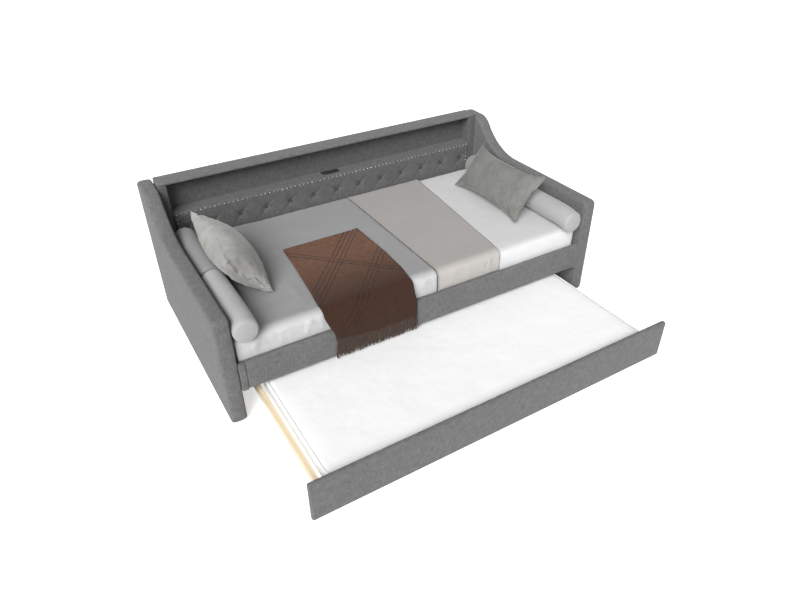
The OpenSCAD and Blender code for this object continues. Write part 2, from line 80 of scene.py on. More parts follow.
def addStudio():
    scene.view_settings.view_transform = "Standard"
    world = bpy.data.worlds.new("studio")
    scene.world = world
    world.use_nodes = True
    tree = world.node_tree
    tree.nodes["Background"].inputs["Color"].default_value = (1, 1, 1, 1)
    seen = tree.nodes.new("ShaderNodeLightPath").outputs["Is Camera Ray"]
    glow = tree.nodes.new("ShaderNodeMapRange")       # white to the eye, dimmer as a light
    glow.inputs["To Min"].default_value, glow.inputs["To Max"].default_value = studio["sky"], 1.0
    tree.links.new(seen, glow.inputs["Value"])
    tree.links.new(glow.outputs["Result"], tree.nodes["Background"].inputs["Strength"])
    addSun("keyLight", studio["key"], studio["keyTurn"], studio["keySoft"])
    addSun("fillLight", studio["fill"], studio["fillTurn"], 60)
    mesh = bpy.data.meshes.new("floor")
    mesh.from_pydata([(-30, -30, -0.0006), (30, -30, -0.0006), (30, 30, -0.0006), (-30, 30, -0.0006)],
                     [], [(0, 1, 2, 3)])
    floor = bpy.data.objects.new("floor", mesh)
    scene.collection.objects.link(floor)
    mat = bpy.data.materials.new("paleFloor")
    mat.use_nodes = True
    shader = mat.node_tree.nodes["Principled BSDF"]
    shader.inputs["Base Color"].default_value = (studio["floor"],) * 3 + (1,)
    shader.inputs["Roughness"].default_value = 0.9
    shader.inputs["Emission Color"].default_value = (1, 1, 1, 1)
    net = mat.node_tree
    seen = net.nodes.new("ShaderNodeLightPath").outputs["Is Camera Ray"]
    glow = net.nodes.new("ShaderNodeMath")
    glow.operation = "MULTIPLY"
    glow.inputs[1].default_value = studio["floorGlow"]
    net.links.new(seen, glow.inputs[0])
    net.links.new(glow.outputs[0], shader.inputs["Emission Strength"])
    mesh.materials.append(mat)


addCamera()
addStudio()
print("camera and studio ready")


# ---------- node helpers
class Net:
    # thin wrapper round a node tree, so materials stay short
    def __init__(self, tree):
        self.tree = tree

    def add(self, kind, links=None, **settings):
        node = self.tree.nodes.new(kind)
        for key, value in settings.items():
            setattr(node, key, value)
        for socket, value in (links or {}).items():
            self.plug(node, socket, value)
        return node

    def plug(self, node, socket, value):
        target = node.inputs[socket]
        if isinstance(value, bpy.types.NodeSocket):
            self.tree.links.new(value, target)
        else:
            target.default_value = value

    def math(self, operation, a, b=0.0, c=0.0):
        node = self.add("ShaderNodeMath", {0: a, 1: b, 2: c}, operation=operation)
        return node.outputs[0]

    def mix(self, factor, a, b, blend="MIX"):
        node = self.add("ShaderNodeMix", data_type="RGBA", blend_type=blend)
        for socket, value in ((0, factor), (6, a), (7, b)):
            self.plug(node, socket, value)
        return node.outputs[2]

    def noise(self, vector, scale, detail=3.0, rough=0.55):
        node = self.add("ShaderNodeTexNoise", {"Vector": vector, "Scale": scale, "Detail": detail,
                                               "Roughness": rough})
        return node.outputs["Fac"]

    def stretch(self, vector, scale, turn=(0, 0, 0)):
        node = self.add("ShaderNodeMapping", {"Vector": vector, "Scale": scale, "Rotation": turn})
        return node.outputs["Vector"]

    def ramp(self, value, low, high, outLow=0.0, outHigh=1.0):
        node = self.add("ShaderNodeMapRange", {0: value, 1: low, 2: high, 3: outLow, 4: outHigh})
        return node.outputs[0]


def newGroup(name, inputs, outputs):
    tree = bpy.data.node_groups.new(name, "ShaderNodeTree")
    for label, kind, value in inputs:
        socket = tree.interface.new_socket(label, in_out="INPUT", socket_type=kind)
        if value is not None:
            socket.default_value = value
    for label, kind in outputs:
        tree.interface.new_socket(label, in_out="OUTPUT", socket_type=kind)
    net = Net(tree)
    return tree, net, net.add("NodeGroupInput").outputs, net.add("NodeGroupOutput")


# plain weave with slubs: tint is a multiplier round 1, height is for bump
def weaveGroup():
    tree, net, given, out = newGroup(
        "weave", [("Vector", "NodeSocketVector", None), ("Thread", "NodeSocketFloat", 700.0),
                  ("Slub", "NodeSocketFloat", 0.2), ("Mottle", "NodeSocketFloat", 0.1)],
        [("Tint", "NodeSocketFloat"), ("Height", "NodeSocketFloat")])
    parts = net.add("ShaderNodeSeparateXYZ", {0: given["Vector"]}).outputs
    warp = net.math("SINE", net.math("MULTIPLY", parts[0], given["Thread"]))
    weft = net.math("SINE", net.math("MULTIPLY", parts[1], given["Thread"]))
    cross = net.math("MULTIPLY", warp, weft)
    along = net.noise(net.stretch(given["Vector"], (26, 170, 60)), 1.0, 4.0, 0.65)
    across = net.noise(net.stretch(given["Vector"], (170, 26, 60)), 1.0, 4.0, 0.65)
    slub = net.math("SUBTRACT", net.math("ADD", along, across), 1.0)
    mottle = net.math("SUBTRACT", net.noise(given["Vector"], 38.0, 4.0, 0.65), 0.5)
    tint = net.math("MULTIPLY_ADD", slub, given["Slub"], 1.0)
    tint = net.math("MULTIPLY_ADD", mottle, given["Mottle"], tint)
    net.plug(out, "Tint", net.math("MULTIPLY_ADD", cross, 0.05, tint))
    net.plug(out, "Height", net.math("MULTIPLY_ADD", cross, 0.35, slub))
    return tree


# soft rumple for bedding and padded faces
def rumpleGroup():
    tree, net, given, out = newGroup(
        "rumple", [("Vector", "NodeSocketVector", None), ("Scale", "NodeSocketFloat", 6.0)],
        [("Fac", "NodeSocketFloat"), ("Height", "NodeSocketFloat")])
    broad = net.noise(given["Vector"], given["Scale"], 2.0, 0.5)
    bent = net.math("MULTIPLY", given["Scale"], 3.1)
    fine = net.noise(given["Vector"], bent, 3.0, 0.6)
    net.plug(out, "Fac", net.math("MULTIPLY_ADD", fine, 0.35, net.math("MULTIPLY", broad, 0.65)))
    net.plug(out, "Height", net.math("MULTIPLY_ADD", fine, 0.3, broad))
    return tree


# wood grain that runs along the vector's Y
def grainGroup():
    tree, net, given, out = newGroup(
        "grain", [("Vector", "NodeSocketVector", None), ("Rings", "NodeSocketFloat", 90.0)],
        [("Fac", "NodeSocketFloat"), ("Height", "NodeSocketFloat")])
    long = net.stretch(given["Vector"], (1.0, 0.06, 1.0))
    warp = net.noise(long, 14.0, 3.0)
    parts = net.add("ShaderNodeSeparateXYZ", {0: long}).outputs
    reach = net.math("ADD", parts[0], net.math("MULTIPLY", parts[2], 0.7))
    rings = net.math("SINE", net.math("MULTIPLY_ADD", reach, given["Rings"],
                                      net.math("MULTIPLY", warp, 9.0)))
    pores = net.noise(net.stretch(given["Vector"], (500, 12, 500)), 1.0, 3.0)
    net.plug(out, "Fac", net.math("MULTIPLY_ADD", rings, 0.28, net.math("MULTIPLY", pores, 0.7)))
    net.plug(out, "Height", pores)
    return tree


weave, rumple, grain = weaveGroup(), rumpleGroup(), grainGroup()


def startMaterial(name, roughness, **fixed):
    mat = bpy.data.materials.new(name)
    mat.use_nodes = True
    net = Net(mat.node_tree)
    shader = mat.node_tree.nodes["Principled BSDF"]
    shader.inputs["Roughness"].default_value = roughness
    for socket, value in fixed.items():
        shader.inputs[socket.replace("_", " ")].default_value = value
    place = net.add("ShaderNodeTexCoord").outputs
    return mat, net, shader, place


def addBump(net, shader, height, distance, strength=1.0, under=None):
    links = {"Height": height, "Distance": distance, "Strength": strength}
    if under is not None:
        links["Normal"] = under
    bump = net.add("ShaderNodeBump", links)
    net.plug(shader, "Normal", bump.outputs[0])
    return bump.outputs[0]


# cloth woven over a UV map in metres
def clothMaterial(name, colour, look):
    mat, net, shader, place = startMaterial(
        name, look["rough"], Sheen_Weight=look["sheen"], Sheen_Roughness=0.5,
        Specular_IOR_Level=look.get("gloss", 0.25))
    uv = place["UV"]
    cloth = net.add("ShaderNodeGroup", {"Vector": uv, "Thread": look["thread"], "Slub": look["slub"],
                                        "Mottle": look["mottle"]}, node_tree=weave)
    soft = net.add("ShaderNodeGroup", node_tree=rumple)
    net.plug(soft, "Vector", place["Object"])
    net.plug(soft, "Scale", look["rumple"])
    shade = net.ramp(soft.outputs["Fac"], 0.3, 0.7, 1 - look["wear"], 1 + look["wear"])
    if "hangPaintedLight" in look:                            # painted light: a paler tint where the cloth hangs down the lit front
        drop = net.add("ShaderNodeSeparateXYZ", {0: uv}).outputs[1]
        shade = net.math("MULTIPLY", shade, net.ramp(drop, look["hangFrom"], look["hangFrom"] - 0.05, 1.0,
                                                     look["hangPaintedLight"]))
    dark = tuple(c * 0.72 for c in colour) + (1,)
    if "sidePaintedLight" in look:                            # painted light: and a paler tint on the lit front side of the sheet
        height = net.add("ShaderNodeSeparateXYZ", {0: place["Object"]}).outputs[2]
        shade = net.math("MULTIPLY", shade, net.ramp(height, 0.412, 0.398, 1.0, look["sidePaintedLight"]))
    tint = net.math("MULTIPLY", cloth.outputs["Tint"], shade)
    top = 1.28 * look.get("hangPaintedLight", 1.0) * look.get("sidePaintedLight", 1.0)
    light = tuple(min(1, c * top) for c in colour) + (1,)
    net.plug(shader, "Base Color", net.mix(net.ramp(tint, 0.72, top), dark, light))
    net.plug(shader, "Roughness", net.ramp(tint, 0.8, 1.2, look["rough"] + 0.04, look["rough"] - 0.04))
    broad = addBump(net, shader, soft.outputs["Height"], look["rumpleDepth"])
    addBump(net, shader, cloth.outputs["Height"], look["depth"], 0.8, broad)
    return mat


linenLook = {"rough": 0.88, "sheen": 0.12, "thread": 3300.0, "slub": 1.0, "mottle": 0.5,
             "rumple": 7.0, "wear": 0.05, "rumpleDepth": 0.0012, "depth": 0.0006}
linenColour = (0.128, 0.128, 0.129)
cottonLook = {"rough": 0.8, "sheen": 0.08, "thread": 6000.0, "slub": 0.06, "mottle": 0.03,
              "rumple": 9.0, "wear": 0.02, "rumpleDepth": 0.003, "depth": 0.0002}
blanketLook = {"rough": 0.72, "sheen": 0.2, "thread": 4200.0, "slub": 0.1, "mottle": 0.06,
               "rumple": 6.0, "wear": 0.03, "rumpleDepth": 0.002, "depth": 0.0003}
satinLook = {"rough": 0.6, "sheen": 0.25, "thread": 5200.0, "slub": 0.06, "mottle": 0.04,
             "rumple": 11.0, "wear": 0.03, "rumpleDepth": 0.001, "depth": 0.0002, "gloss": 0.35}

linen = clothMaterial("greyLinen", linenColour, linenLook)
# painted shade: the buttons' linen darkened to 0.4 for the shade in the tuft pits
buttonShadeLinen = clothMaterial("buttonLinenPaintedShade", tuple(c * 0.4 for c in linenColour), linenLook)
sheetCotton = clothMaterial("whiteSheet", (0.52, 0.52, 0.522), cottonLook | {"sidePaintedLight": 1.28})
mattressCotton = clothMaterial("trundleCotton", (0.80, 0.80, 0.80), cottonLook)
silverCloth = clothMaterial("silverCloth", (0.245, 0.245, 0.246),
                            blanketLook | {"hangPaintedLight": 2.0, "hangFrom": -0.89})
taupeCloth = clothMaterial("taupeCloth", (0.305, 0.290, 0.277),
                           blanketLook | {"hangPaintedLight": 1.4, "hangFrom": -0.89})
# painted shade: deeper tints for the headboard's face and recess; a deeper tint for the rear bolsters
recessShadeLinen = clothMaterial("recessShadeLinen", tuple(c * 0.78 for c in linenColour), linenLook)
bolsterDeep = clothMaterial("bolsterDeep", (0.215, 0.215, 0.217), satinLook)
# painted shadow: a near-black cloth for the shadow line between the silver and taupe blankets
gapShadowCloth = clothMaterial("gapShadowCloth", (0.055, 0.055, 0.058), blanketLook)
bolsterSatin = clothMaterial("bolsterSatin", (0.335, 0.335, 0.338), satinLook)


# short velvet, its nap brushed in patches
def velvetMaterial(name, dark, light):
    look = {"dark": dark, "light": light, "patch": 9.0}
    mat, net, shader, place = startMaterial(name, 0.75, Sheen_Weight=0.35, Sheen_Roughness=0.35,
                                            Specular_IOR_Level=0.2)
    patch = net.noise(place["Object"], look["patch"], 4.0, 0.62)
    brushed = net.noise(net.stretch(place["Object"], (26, 90, 26), (0.4, 0.2, 0.7)), 1.0, 3.0)
    nap = net.math("MULTIPLY_ADD", brushed, 0.35, net.math("MULTIPLY", patch, 0.65))
    net.plug(shader, "Base Color", net.mix(net.ramp(nap, 0.32, 0.68), look["dark"] + (1,),
                                           look["light"] + (1,)))
    net.plug(shader, "Roughness", net.ramp(nap, 0.3, 0.7, 0.85, 0.65))
    pile = net.noise(place["Object"], 900.0, 2.0)
    addBump(net, shader, net.math("MULTIPLY_ADD", pile, 0.4, patch), 0.0012, 0.7)
    return mat


# brushed wool with pressed diagonal lines
# bands: slope, offset, steps across it and line width
throwLook = {"dark": (0.026, 0.0125, 0.0085), "light": (0.245, 0.122, 0.076),
             "bands": ((1, -0.545, (-0.011, 0.011), 0.0052),
                       (-1.15, 0.132, (-0.032, -0.012, 0.012, 0.032), 0.0032),
                       (-1.15, -0.17, (-0.022, 0.0, 0.022), 0.0026))}


def woolMaterial():
    mat, net, shader, place = startMaterial("brownWool", 0.9, Sheen_Weight=0.08, Sheen_Roughness=0.4,
                                            Specular_IOR_Level=0.15)
    uv = place["UV"]
    parts = net.add("ShaderNodeSeparateXYZ", {0: uv}).outputs
    cloth = net.add("ShaderNodeGroup", node_tree=weave)
    for socket, value in (("Vector", uv), ("Thread", 2600.0), ("Slub", 0.35), ("Mottle", 0.25)):
        net.plug(cloth, socket, value)
    lines = None
    for slope, offset, steps, width in throwLook["bands"]:
        across = 1 / math.hypot(1, slope)
        reach = net.math("MULTIPLY", net.math("MULTIPLY_ADD", parts[0], slope, parts[1]), across)
        for step in steps:
            gap = net.math("ABSOLUTE", net.math("SUBTRACT", reach, offset * across + step))
            line = net.ramp(gap, 0.0, width, 1.0, 0.0)
            lines = line if lines is None else net.math("MAXIMUM", lines, line)
    tone = net.ramp(cloth.outputs["Tint"], 0.7, 1.3)
    tone = net.math("MULTIPLY_ADD", lines, -0.45, tone)
    hangShade = net.ramp(parts[1], -0.20, -0.56)        # painted shade: a darker tint where the throw hangs towards the fringe
    tone = net.math("MULTIPLY", tone, net.math("MULTIPLY_ADD", hangShade, -0.84, 1.0))
    net.plug(shader, "Base Color", net.mix(tone, throwLook["dark"] + (1,), throwLook["light"] + (1,)))
    net.plug(shader, "Roughness", net.ramp(tone, 0.2, 0.8, 0.95, 0.85))
    pressed = addBump(net, shader, net.math("MULTIPLY", lines, -1.0), 0.0025)
    addBump(net, shader, cloth.outputs["Height"], 0.0008, 0.8, pressed)
    return mat


# the yarn of the fringe
def yarnMaterial():
    mat, net, shader, place = startMaterial("fringeYarn", 0.85, Sheen_Weight=0.3, Sheen_Roughness=0.4,
                                            Specular_IOR_Level=0.2)
    shade = net.noise(net.stretch(place["Object"], (300, 300, 30)), 1.0, 3.0)
    net.plug(shader, "Base Color", net.mix(net.ramp(shade, 0.3, 0.7), (0.022, 0.012, 0.009, 1),
                                           (0.085, 0.048, 0.032, 1)))
    twist = net.noise(net.stretch(place["Object"], (900, 900, 600)), 1.0, 1.0)
    addBump(net, shader, twist, 0.0006, 0.8)
    return mat


def pineMaterial(name, turn):
    mat, net, shader, place = startMaterial(name, 0.55, Specular_IOR_Level=0.35)
    wood = net.add("ShaderNodeGroup", node_tree=grain)
    net.plug(wood, "Vector", net.stretch(place["Object"], (1, 1, 1), turn))
    net.plug(wood, "Rings", 120.0)
    tone = net.ramp(wood.outputs["Fac"], 0.0, 0.75)
    net.plug(shader, "Base Color", net.mix(tone, (0.78, 0.68, 0.50, 1), (0.66, 0.54, 0.36, 1)))
    net.plug(shader, "Roughness", net.ramp(tone, 0.0, 1.0, 0.5, 0.65))
    addBump(net, shader, wood.outputs["Height"], 0.0004, 0.6)
    return mat


# brushed or polished metal, a little worn
def metalMaterial(name, colour, roughness, scratch):
    mat, net, shader, place = startMaterial(name, roughness, Metallic=1.0)
    streaks = net.noise(net.stretch(place["Object"], (900, 60, 60)), 1.0, 3.0)
    smudge = net.noise(place["Object"], 45.0, 4.0)
    dark = tuple(c * 0.8 for c in colour) + (1,)
    net.plug(shader, "Base Color", net.mix(net.ramp(smudge, 0.35, 0.65), dark, colour + (1,)))
    net.plug(shader, "Roughness", net.ramp(smudge, 0.3, 0.7, roughness - 0.06, roughness + 0.1))
    addBump(net, shader, streaks, scratch, 0.5)
    return mat


# moulded plastic with a fine spark texture
def plasticMaterial(name, colour, roughness):
    mat, net, shader, place = startMaterial(name, roughness)
    spark = net.noise(place["Object"], 1400.0, 2.0)
    dust = net.noise(place["Object"], 30.0, 5.0, 0.7)
    light = tuple(c * 1.8 + 0.01 for c in colour) + (1,)
    net.plug(shader, "Base Color", net.mix(net.ramp(dust, 0.4, 0.8), colour + (1,), light))
    net.plug(shader, "Roughness", net.ramp(dust, 0.3, 0.7, roughness - 0.05, roughness + 0.1))
    addBump(net, shader, spark, 0.0001, 0.6)
    return mat


# woven tape, ribbed along Object X
def webbingMaterial():
    mat, net, shader, place = startMaterial("webbing", 0.85)
    parts = net.add("ShaderNodeSeparateXYZ", {0: place["Object"]}).outputs
    ribs = net.math("SINE", net.math("MULTIPLY", parts[0], 3000.0))
    fuzz = net.noise(place["Object"], 500.0, 2.0)
    tone = net.math("MULTIPLY_ADD", ribs, 0.3, fuzz)
    net.plug(shader, "Base Color", net.mix(tone, (0.02, 0.02, 0.022, 1), (0.06, 0.06, 0.065, 1)))
    addBump(net, shader, ribs, 0.0004)
    return mat


wool, yarn = woolMaterial(), yarnMaterial()
# painted light: one velvet in a lit copy for the left pillow and a shaded copy for the right
velvetLit = velvetMaterial("velvetLit", (0.235, 0.232, 0.219), (0.37, 0.366, 0.35))
velvetShaded = velvetMaterial("velvetShaded", (0.130, 0.129, 0.121), (0.20, 0.198, 0.188))
pineAlongX = pineMaterial("pineAlongX", (0, 0, math.pi / 2))
pineAlongY = pineMaterial("pineAlongY", (0, 0, 0))
pineUpright = pineMaterial("pineUpright", (math.pi / 2, 0, 0))
zinc = metalMaterial("zincSteel", (0.62, 0.63, 0.65), 0.36, 0.00006)
nickel = metalMaterial("nickel", (0.62, 0.62, 0.63), 0.34, 0.00002)
blackPlastic = plasticMaterial("blackPlastic", (0.02, 0.02, 0.022), 0.45)
nylon = plasticMaterial("wheelNylon", (0.035, 0.035, 0.038), 0.5)
webbing = webbingMaterial()
print("materials ready")


# ---------- mesh helpers
def meshObject(name, verts, faces, material, smooth=True):
    mesh = bpy.data.meshes.new(name)
    mesh.from_pydata(verts, [], faces)
    mesh.validate()
    obj = bpy.data.objects.new(name, mesh)
    scene.collection.objects.link(obj)
    mesh.materials.append(material)
    if smooth:
        mesh.polygons.foreach_set("use_smooth", [True] * len(mesh.polygons))
    return obj


def tidyMesh(obj, gap=1e-6):
    bm = bmesh.new()
    bm.from_mesh(obj.data)
    bmesh.ops.remove_doubles(bm, verts=bm.verts, dist=gap)
    bmesh.ops.recalc_face_normals(bm, faces=bm.faces)
    bm.to_mesh(obj.data)
    bm.free()
    return obj


# UVs in metres, from whichever way each face looks
def boxUv(obj):
    mesh = obj.data
    layer = mesh.uv_layers.new(name="cloth")
    for face in mesh.polygons:
        n = face.normal
        ax = max(range(3), key=lambda k: abs(n[k]))
        u, v = ((1, 2), (0, 2), (0, 1))[ax]
        for loop in face.loop_indices:
            co = mesh.vertices[mesh.loops[loop].vertex_index].co
            layer.data[loop].uv = (co[u], co[v])
    return obj


def bakeModifiers(obj):
    graph = bpy.context.evaluated_depsgraph_get()
    fresh = bpy.data.meshes.new_from_object(obj.evaluated_get(graph))
    obj.modifiers.clear()
    obj.data = fresh
    return obj


# where the grid lines of a rounded box fall along one axis
def stops(low, high, radius, step, rim=4):
    near = [radius * (1 - math.tan(math.pi / 4 * (1 - k / rim))) for k in range(rim + 1)]
    inner = high - low - 2 * radius
    count = max(1, round(inner / step))
    middle = [low + radius + inner * k / count for k in range(1, count)]
    return [low + d for d in near] + middle + [high - d for d in reversed(near)]


# padded box: round edges, faces that swell from the edges, and a slight unevenness
def paddedBox(name, low, high, material, radius=0.008, step=0.03, swell=0.0, swellWidth=0.03,
              uneven=0.0, shape=None):
    low, high = Vector(low), Vector(high)
    lines = [stops(low[k], high[k], radius, step) for k in range(3)]
    verts, faces = [], []
    for ax in range(3):
        u, v = (ax + 1) % 3, (ax + 2) % 3
        for end in (low, high):
            base, width = len(verts), len(lines[v])
            for a in lines[u]:
                for b in lines[v]:
                    p = [0, 0, 0]
                    p[ax], p[u], p[v] = end[ax], a, b
                    edge = min(a - low[u], high[u] - a, b - low[v], high[v] - b)
                    t = min(1, max(0, edge - radius) / swellWidth)
                    rise = swell * math.sqrt(1 - (1 - t) ** 2)
                    inner = Vector([min(max(p[k], low[k] + radius), high[k] - radius) for k in range(3)])
                    away = Vector(p) - inner
                    point = inner + away.normalized() * radius if away.length > 1e-9 else Vector(p)
                    if uneven:
                        rise += uneven * noise.noise(Vector(p) * 9.0) * min(1, t * 2)
                    point[ax] += rise if end is high else -rise
                    verts.append(point)
            for i in range(len(lines[u]) - 1):
                for j in range(width - 1):
                    k = base + i * width + j
                    faces.append((k, k + 1, k + width + 1, k + width))
    if shape:
        verts = [shape(p) for p in verts]
    return boxUv(tidyMesh(meshObject(name, verts, faces, material), 1e-5))


def standFor(obj, node, body="daybed"):
    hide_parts(node)
    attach(obj, body)
    return obj


def useOnNode(node, material):
    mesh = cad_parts[node].data
    mesh.materials.clear()
    mesh.materials.append(material)


# ---------- arms
armShape = {"low": 0.559, "flat": 0.117, "run": 0.360, "bend": 0.110, "corner": 0.026,
            "edge": 0.015, "swell": 0.003, "uneven": 0.0016}


def arc(cy, cz, radius, start, end, count):
    return [(cy + radius * math.cos(start + (end - start) * k / count),
             cz + radius * math.sin(start + (end - start) * k / count)) for k in range(count + 1)]


def along(a, b, count):
    return [(a[0] + (b[0] - a[0]) * k / count, a[1] + (b[1] - a[1]) * k / count)
            for k in range(1, count)]


# the arm's side outline in Y and Z, set in by some distance; always the same number of points
def armOutline(front, back, bottom, top, inset):
    a = armShape
    drop, low = top - a["low"], a["low"]
    bend2 = (a["run"] ** 2 + drop ** 2) / (2 * drop) - a["bend"]
    slope = 2 * math.atan2(drop, a["run"])
    upperY = back - a["flat"]
    lowerY = upperY - a["run"]
    r = max(a["corner"] - inset, 0.0005)
    foot = max(0.008 - inset, 0.0005)
    y0, y1, z0, zl, z1 = front + inset, back - inset, bottom + inset, low - inset, top - inset
    half = math.pi / 2
    frontFoot = arc(y0 + r, z0 + r, r, 3 * half, 2 * half, 5)
    frontTop = arc(y0 + r, zl - r, r, 2 * half, half, 5)
    hollow = arc(lowerY, low + bend2, bend2 + inset, -half, -half + slope, 18)
    crest = arc(upperY, top - a["bend"], a["bend"] - inset, half + slope, half, 10)
    backTop = arc(y1 - r, z1 - r, r, half, 0, 5)
    backFoot = arc(y1 - foot, z0 + foot, foot, 0, -half, 3)
    points = frontFoot + along(frontFoot[-1], frontTop[0], 16) + frontTop
    points += along(frontTop[-1], hollow[0], 14) + hollow + crest[1:]
    points += along(crest[-1], backTop[0], 4) + backTop + along(backTop[-1], backFoot[0], 16)
    return points + backFoot + along(backFoot[-1], frontFoot[0], 28)


def makeArm(node):
    low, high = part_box(node)
    inward = 1 if high.x < 0 else -1
    outer = low.x if high.x < 0 else high.x
    thick, r = high.x - low.x, armShape["edge"]
    rings = []                                        # (depth from the outer face, inset)
    for inset, share in ((0.10, 1.0), (0.07, 1.0), (0.045, 0.85), (0.028, 0.5)):
        rings.append((-armShape["swell"] * share, inset))
    rings += [(r * (1 - math.cos(k * math.pi / 12)), r * (1 - math.sin(k * math.pi / 12)))
              for k in range(7)]
    rings += [(thick * 0.35, -0.0012), (thick * 0.5, -0.0016)]
    rings += [(thick - d, i) for d, i in reversed(rings[:-1])]
    verts = []
    for depth, inset in rings:
        for y, z in armOutline(low.y, high.y, low.z, high.z, inset):
            bump = armShape["uneven"] * noise.noise(Vector((depth * 8, y * 5, z * 5)))
            side = -1 if depth < thick / 2 else 1
            edge = min(1, max(0, inset - 0.01) / 0.03)
            verts.append((outer + inward * (depth + side * bump * edge), y, z))
    n = len(verts) // len(rings)
    faces = [(k * n + i, k * n + (i + 1) % n, (k + 1) * n + (i + 1) % n, (k + 1) * n + i)
             for k in range(len(rings) - 1) for i in range(n)]
    faces += [tuple(range(n)), tuple(range(len(verts) - n, len(verts)))]
    obj = meshObject(node.replace("_cover", ""), verts, faces, linen)
    bm = bmesh.new()
    bm.from_mesh(obj.data)
    caps = [f for f in bm.faces if len(f.verts) > 4]
    bmesh.ops.triangulate(bm, faces=caps)
    bm.to_mesh(obj.data)
    bm.free()
    standFor(boxUv(tidyMesh(obj)), node)


for armNode in ("left_arm_cover", "right_arm_cover"):
    makeArm(armNode)
print("arms ready")

# ---------- headboard
tuft = {"count": 13, "pitch": 0.1425, "height": 0.486, "depth": 0.013, "spread": 0.018,
        "crease": 0.0038, "creaseWidth": 0.006, "creaseLength": 0.085, "step": 0.0042}
headLow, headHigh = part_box("tufted_panel")
buttonPlaces = [((k - (tuft["count"] - 1) / 2) * tuft["pitch"], tuft["height"])
                for k in range(tuft["count"])]


# how far the face is pulled in at (x, z) by the buttons and the folds between them
def tuftDepth(x, z):
    pull = 0.0
    for bx, bz in buttonPlaces:
        dx, dz = x - bx, z - bz
        if abs(dx) > 0.11:
            continue
        r = math.hypot(dx, dz)
        pull += tuft["depth"] * math.exp(-(r / tuft["spread"]) ** 1.3)
        for sx in (-1, 1):
            for sz in (-1, 1):
                run = (dx * sx + dz * sz) * 0.7071
                off = abs(dx * sz - dz * sx) * 0.7071
                if run > 0:
                    fade = max(0, 1 - run / tuft["creaseLength"])
                    pull += tuft["crease"] * fade * math.exp(-(off / tuft["creaseWidth"]) ** 2)
    return pull


def makeTuftedPanel():
    low, high = headLow, headHigh

    def pressIn(p):
        if p.y < low.y + 0.004:
            top = min(1, max(0, (high.z - p.z) / 0.02))
            return Vector((p.x, p.y - 0.004 * top + tuftDepth(p.x, p.z) * top, p.z))
        return p

    # painted shade: the tufted face takes the darkened recess linen
    panel = paddedBox("tuftedPanel", low, high, recessShadeLinen, radius=0.008, step=tuft["step"],
                      uneven=0.0008, shape=pressIn)
    standFor(panel, "tufted_panel")


makeTuftedPanel()
# the back panel and stiles take the recess linen, darkened as painted shade
for node, radius, swell, cloth in (("headboard_back_panel", 0.005, 0.0015, recessShadeLinen),
                                   ("headboard_top_board", 0.0055, 0.001, linen),
                                   ("left_stile", 0.007, 0.0015, recessShadeLinen),
                                   ("right_stile", 0.007, 0.0015, recessShadeLinen),
                                   ("left_rail_strip", 0.006, 0.0015, linen),
                                   ("right_rail_strip", 0.006, 0.0015, linen)):
    lowCorner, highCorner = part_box(node)
    piece = paddedBox(node.title().replace("_", ""), lowCorner, highCorner, cloth, radius=radius,
                      swell=swell, uneven=0.0006)
    standFor(piece, node)


# a CAD piece with its edges softened
def softenedCopy(node, name, width, material, body="daybed"):
    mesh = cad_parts[node].data.copy()
    mesh.materials.clear()
    obj = bpy.data.objects.new(name, mesh)
    obj.matrix_world = Matrix()
    scene.collection.objects.link(obj)
    mesh.transform(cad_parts[node].matrix_world)
    mesh.materials.append(material)
    tidyMesh(obj, 1e-5)
    bevel = obj.modifiers.new("edges", "BEVEL")
    bevel.width, bevel.segments, bevel.harden_normals = width, 3, True
    bevel.limit_method, bevel.angle_limit = "ANGLE", math.radians(40)
    bakeModifiers(obj)
    return standFor(boxUv(obj), node, body)


# the shelf takes the recess linen with its painted shade
softenedCopy("shelf_board", "shelfBoard", 0.0025, recessShadeLinen)
softenedCopy("charging_faceplate", "chargingFaceplate", 0.0006, blackPlastic)
print("headboard ready")

# ---------- rails and the trundle front
for node, name, body in (("front_rail_cover", "frontRail", "daybed"),
                         ("trundle_front_cover", "trundleFront", "trundle")):
    lowCorner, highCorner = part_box(node)
    lowCorner += Vector((-0.0015, 0.002, 0)) if body == "daybed" else Vector((0, 0.001, 0))
    highCorner += Vector((0.0015, -0.0028, 0)) if body == "daybed" else Vector((0, -0.002, 0))
    edgeRadius = 0.0045 if body == "daybed" else 0.009
    piece = paddedBox(name, lowCorner, highCorner, linen, radius=edgeRadius, swell=0.002,
                      swellWidth=0.04, uneven=0.001, step=0.02)
    standFor(piece, node, body)
print("upholstered rails ready")

# ---------- wood, metal and plastic straight from the frame
plainFinishes = {
    pineAlongX: ("front_rail_board", "rear_rail", "slat_ledgers", "trundle_front_board",
                 "trundle_front_rail", "trundle_rear_rail", "trundle_ledgers"),
    pineAlongY: ("trundle_left_rail", "trundle_right_rail", "bed_slats", "trundle_slats"),
    pineUpright: ("left_arm_frame", "right_arm_frame"),
    zinc: ("slat_screws", "corner_brackets", "frame_bolts", "trundle_screws", "panel_bolts"),
    blackPlastic: ("charging_module", "foot_glides"),
    webbing: ("slat_straps",)}
for material, nodes in plainFinishes.items():
    for node in nodes:
        useOnNode(node, material)
for corner in ("front_left", "front_right", "rear_left", "rear_right"):
    useOnNode(corner + "_fork", zinc)
    useOnNode(corner + "_axle", zinc)
    useOnNode(corner + "_wheel", nylon)
print("hardware finished")


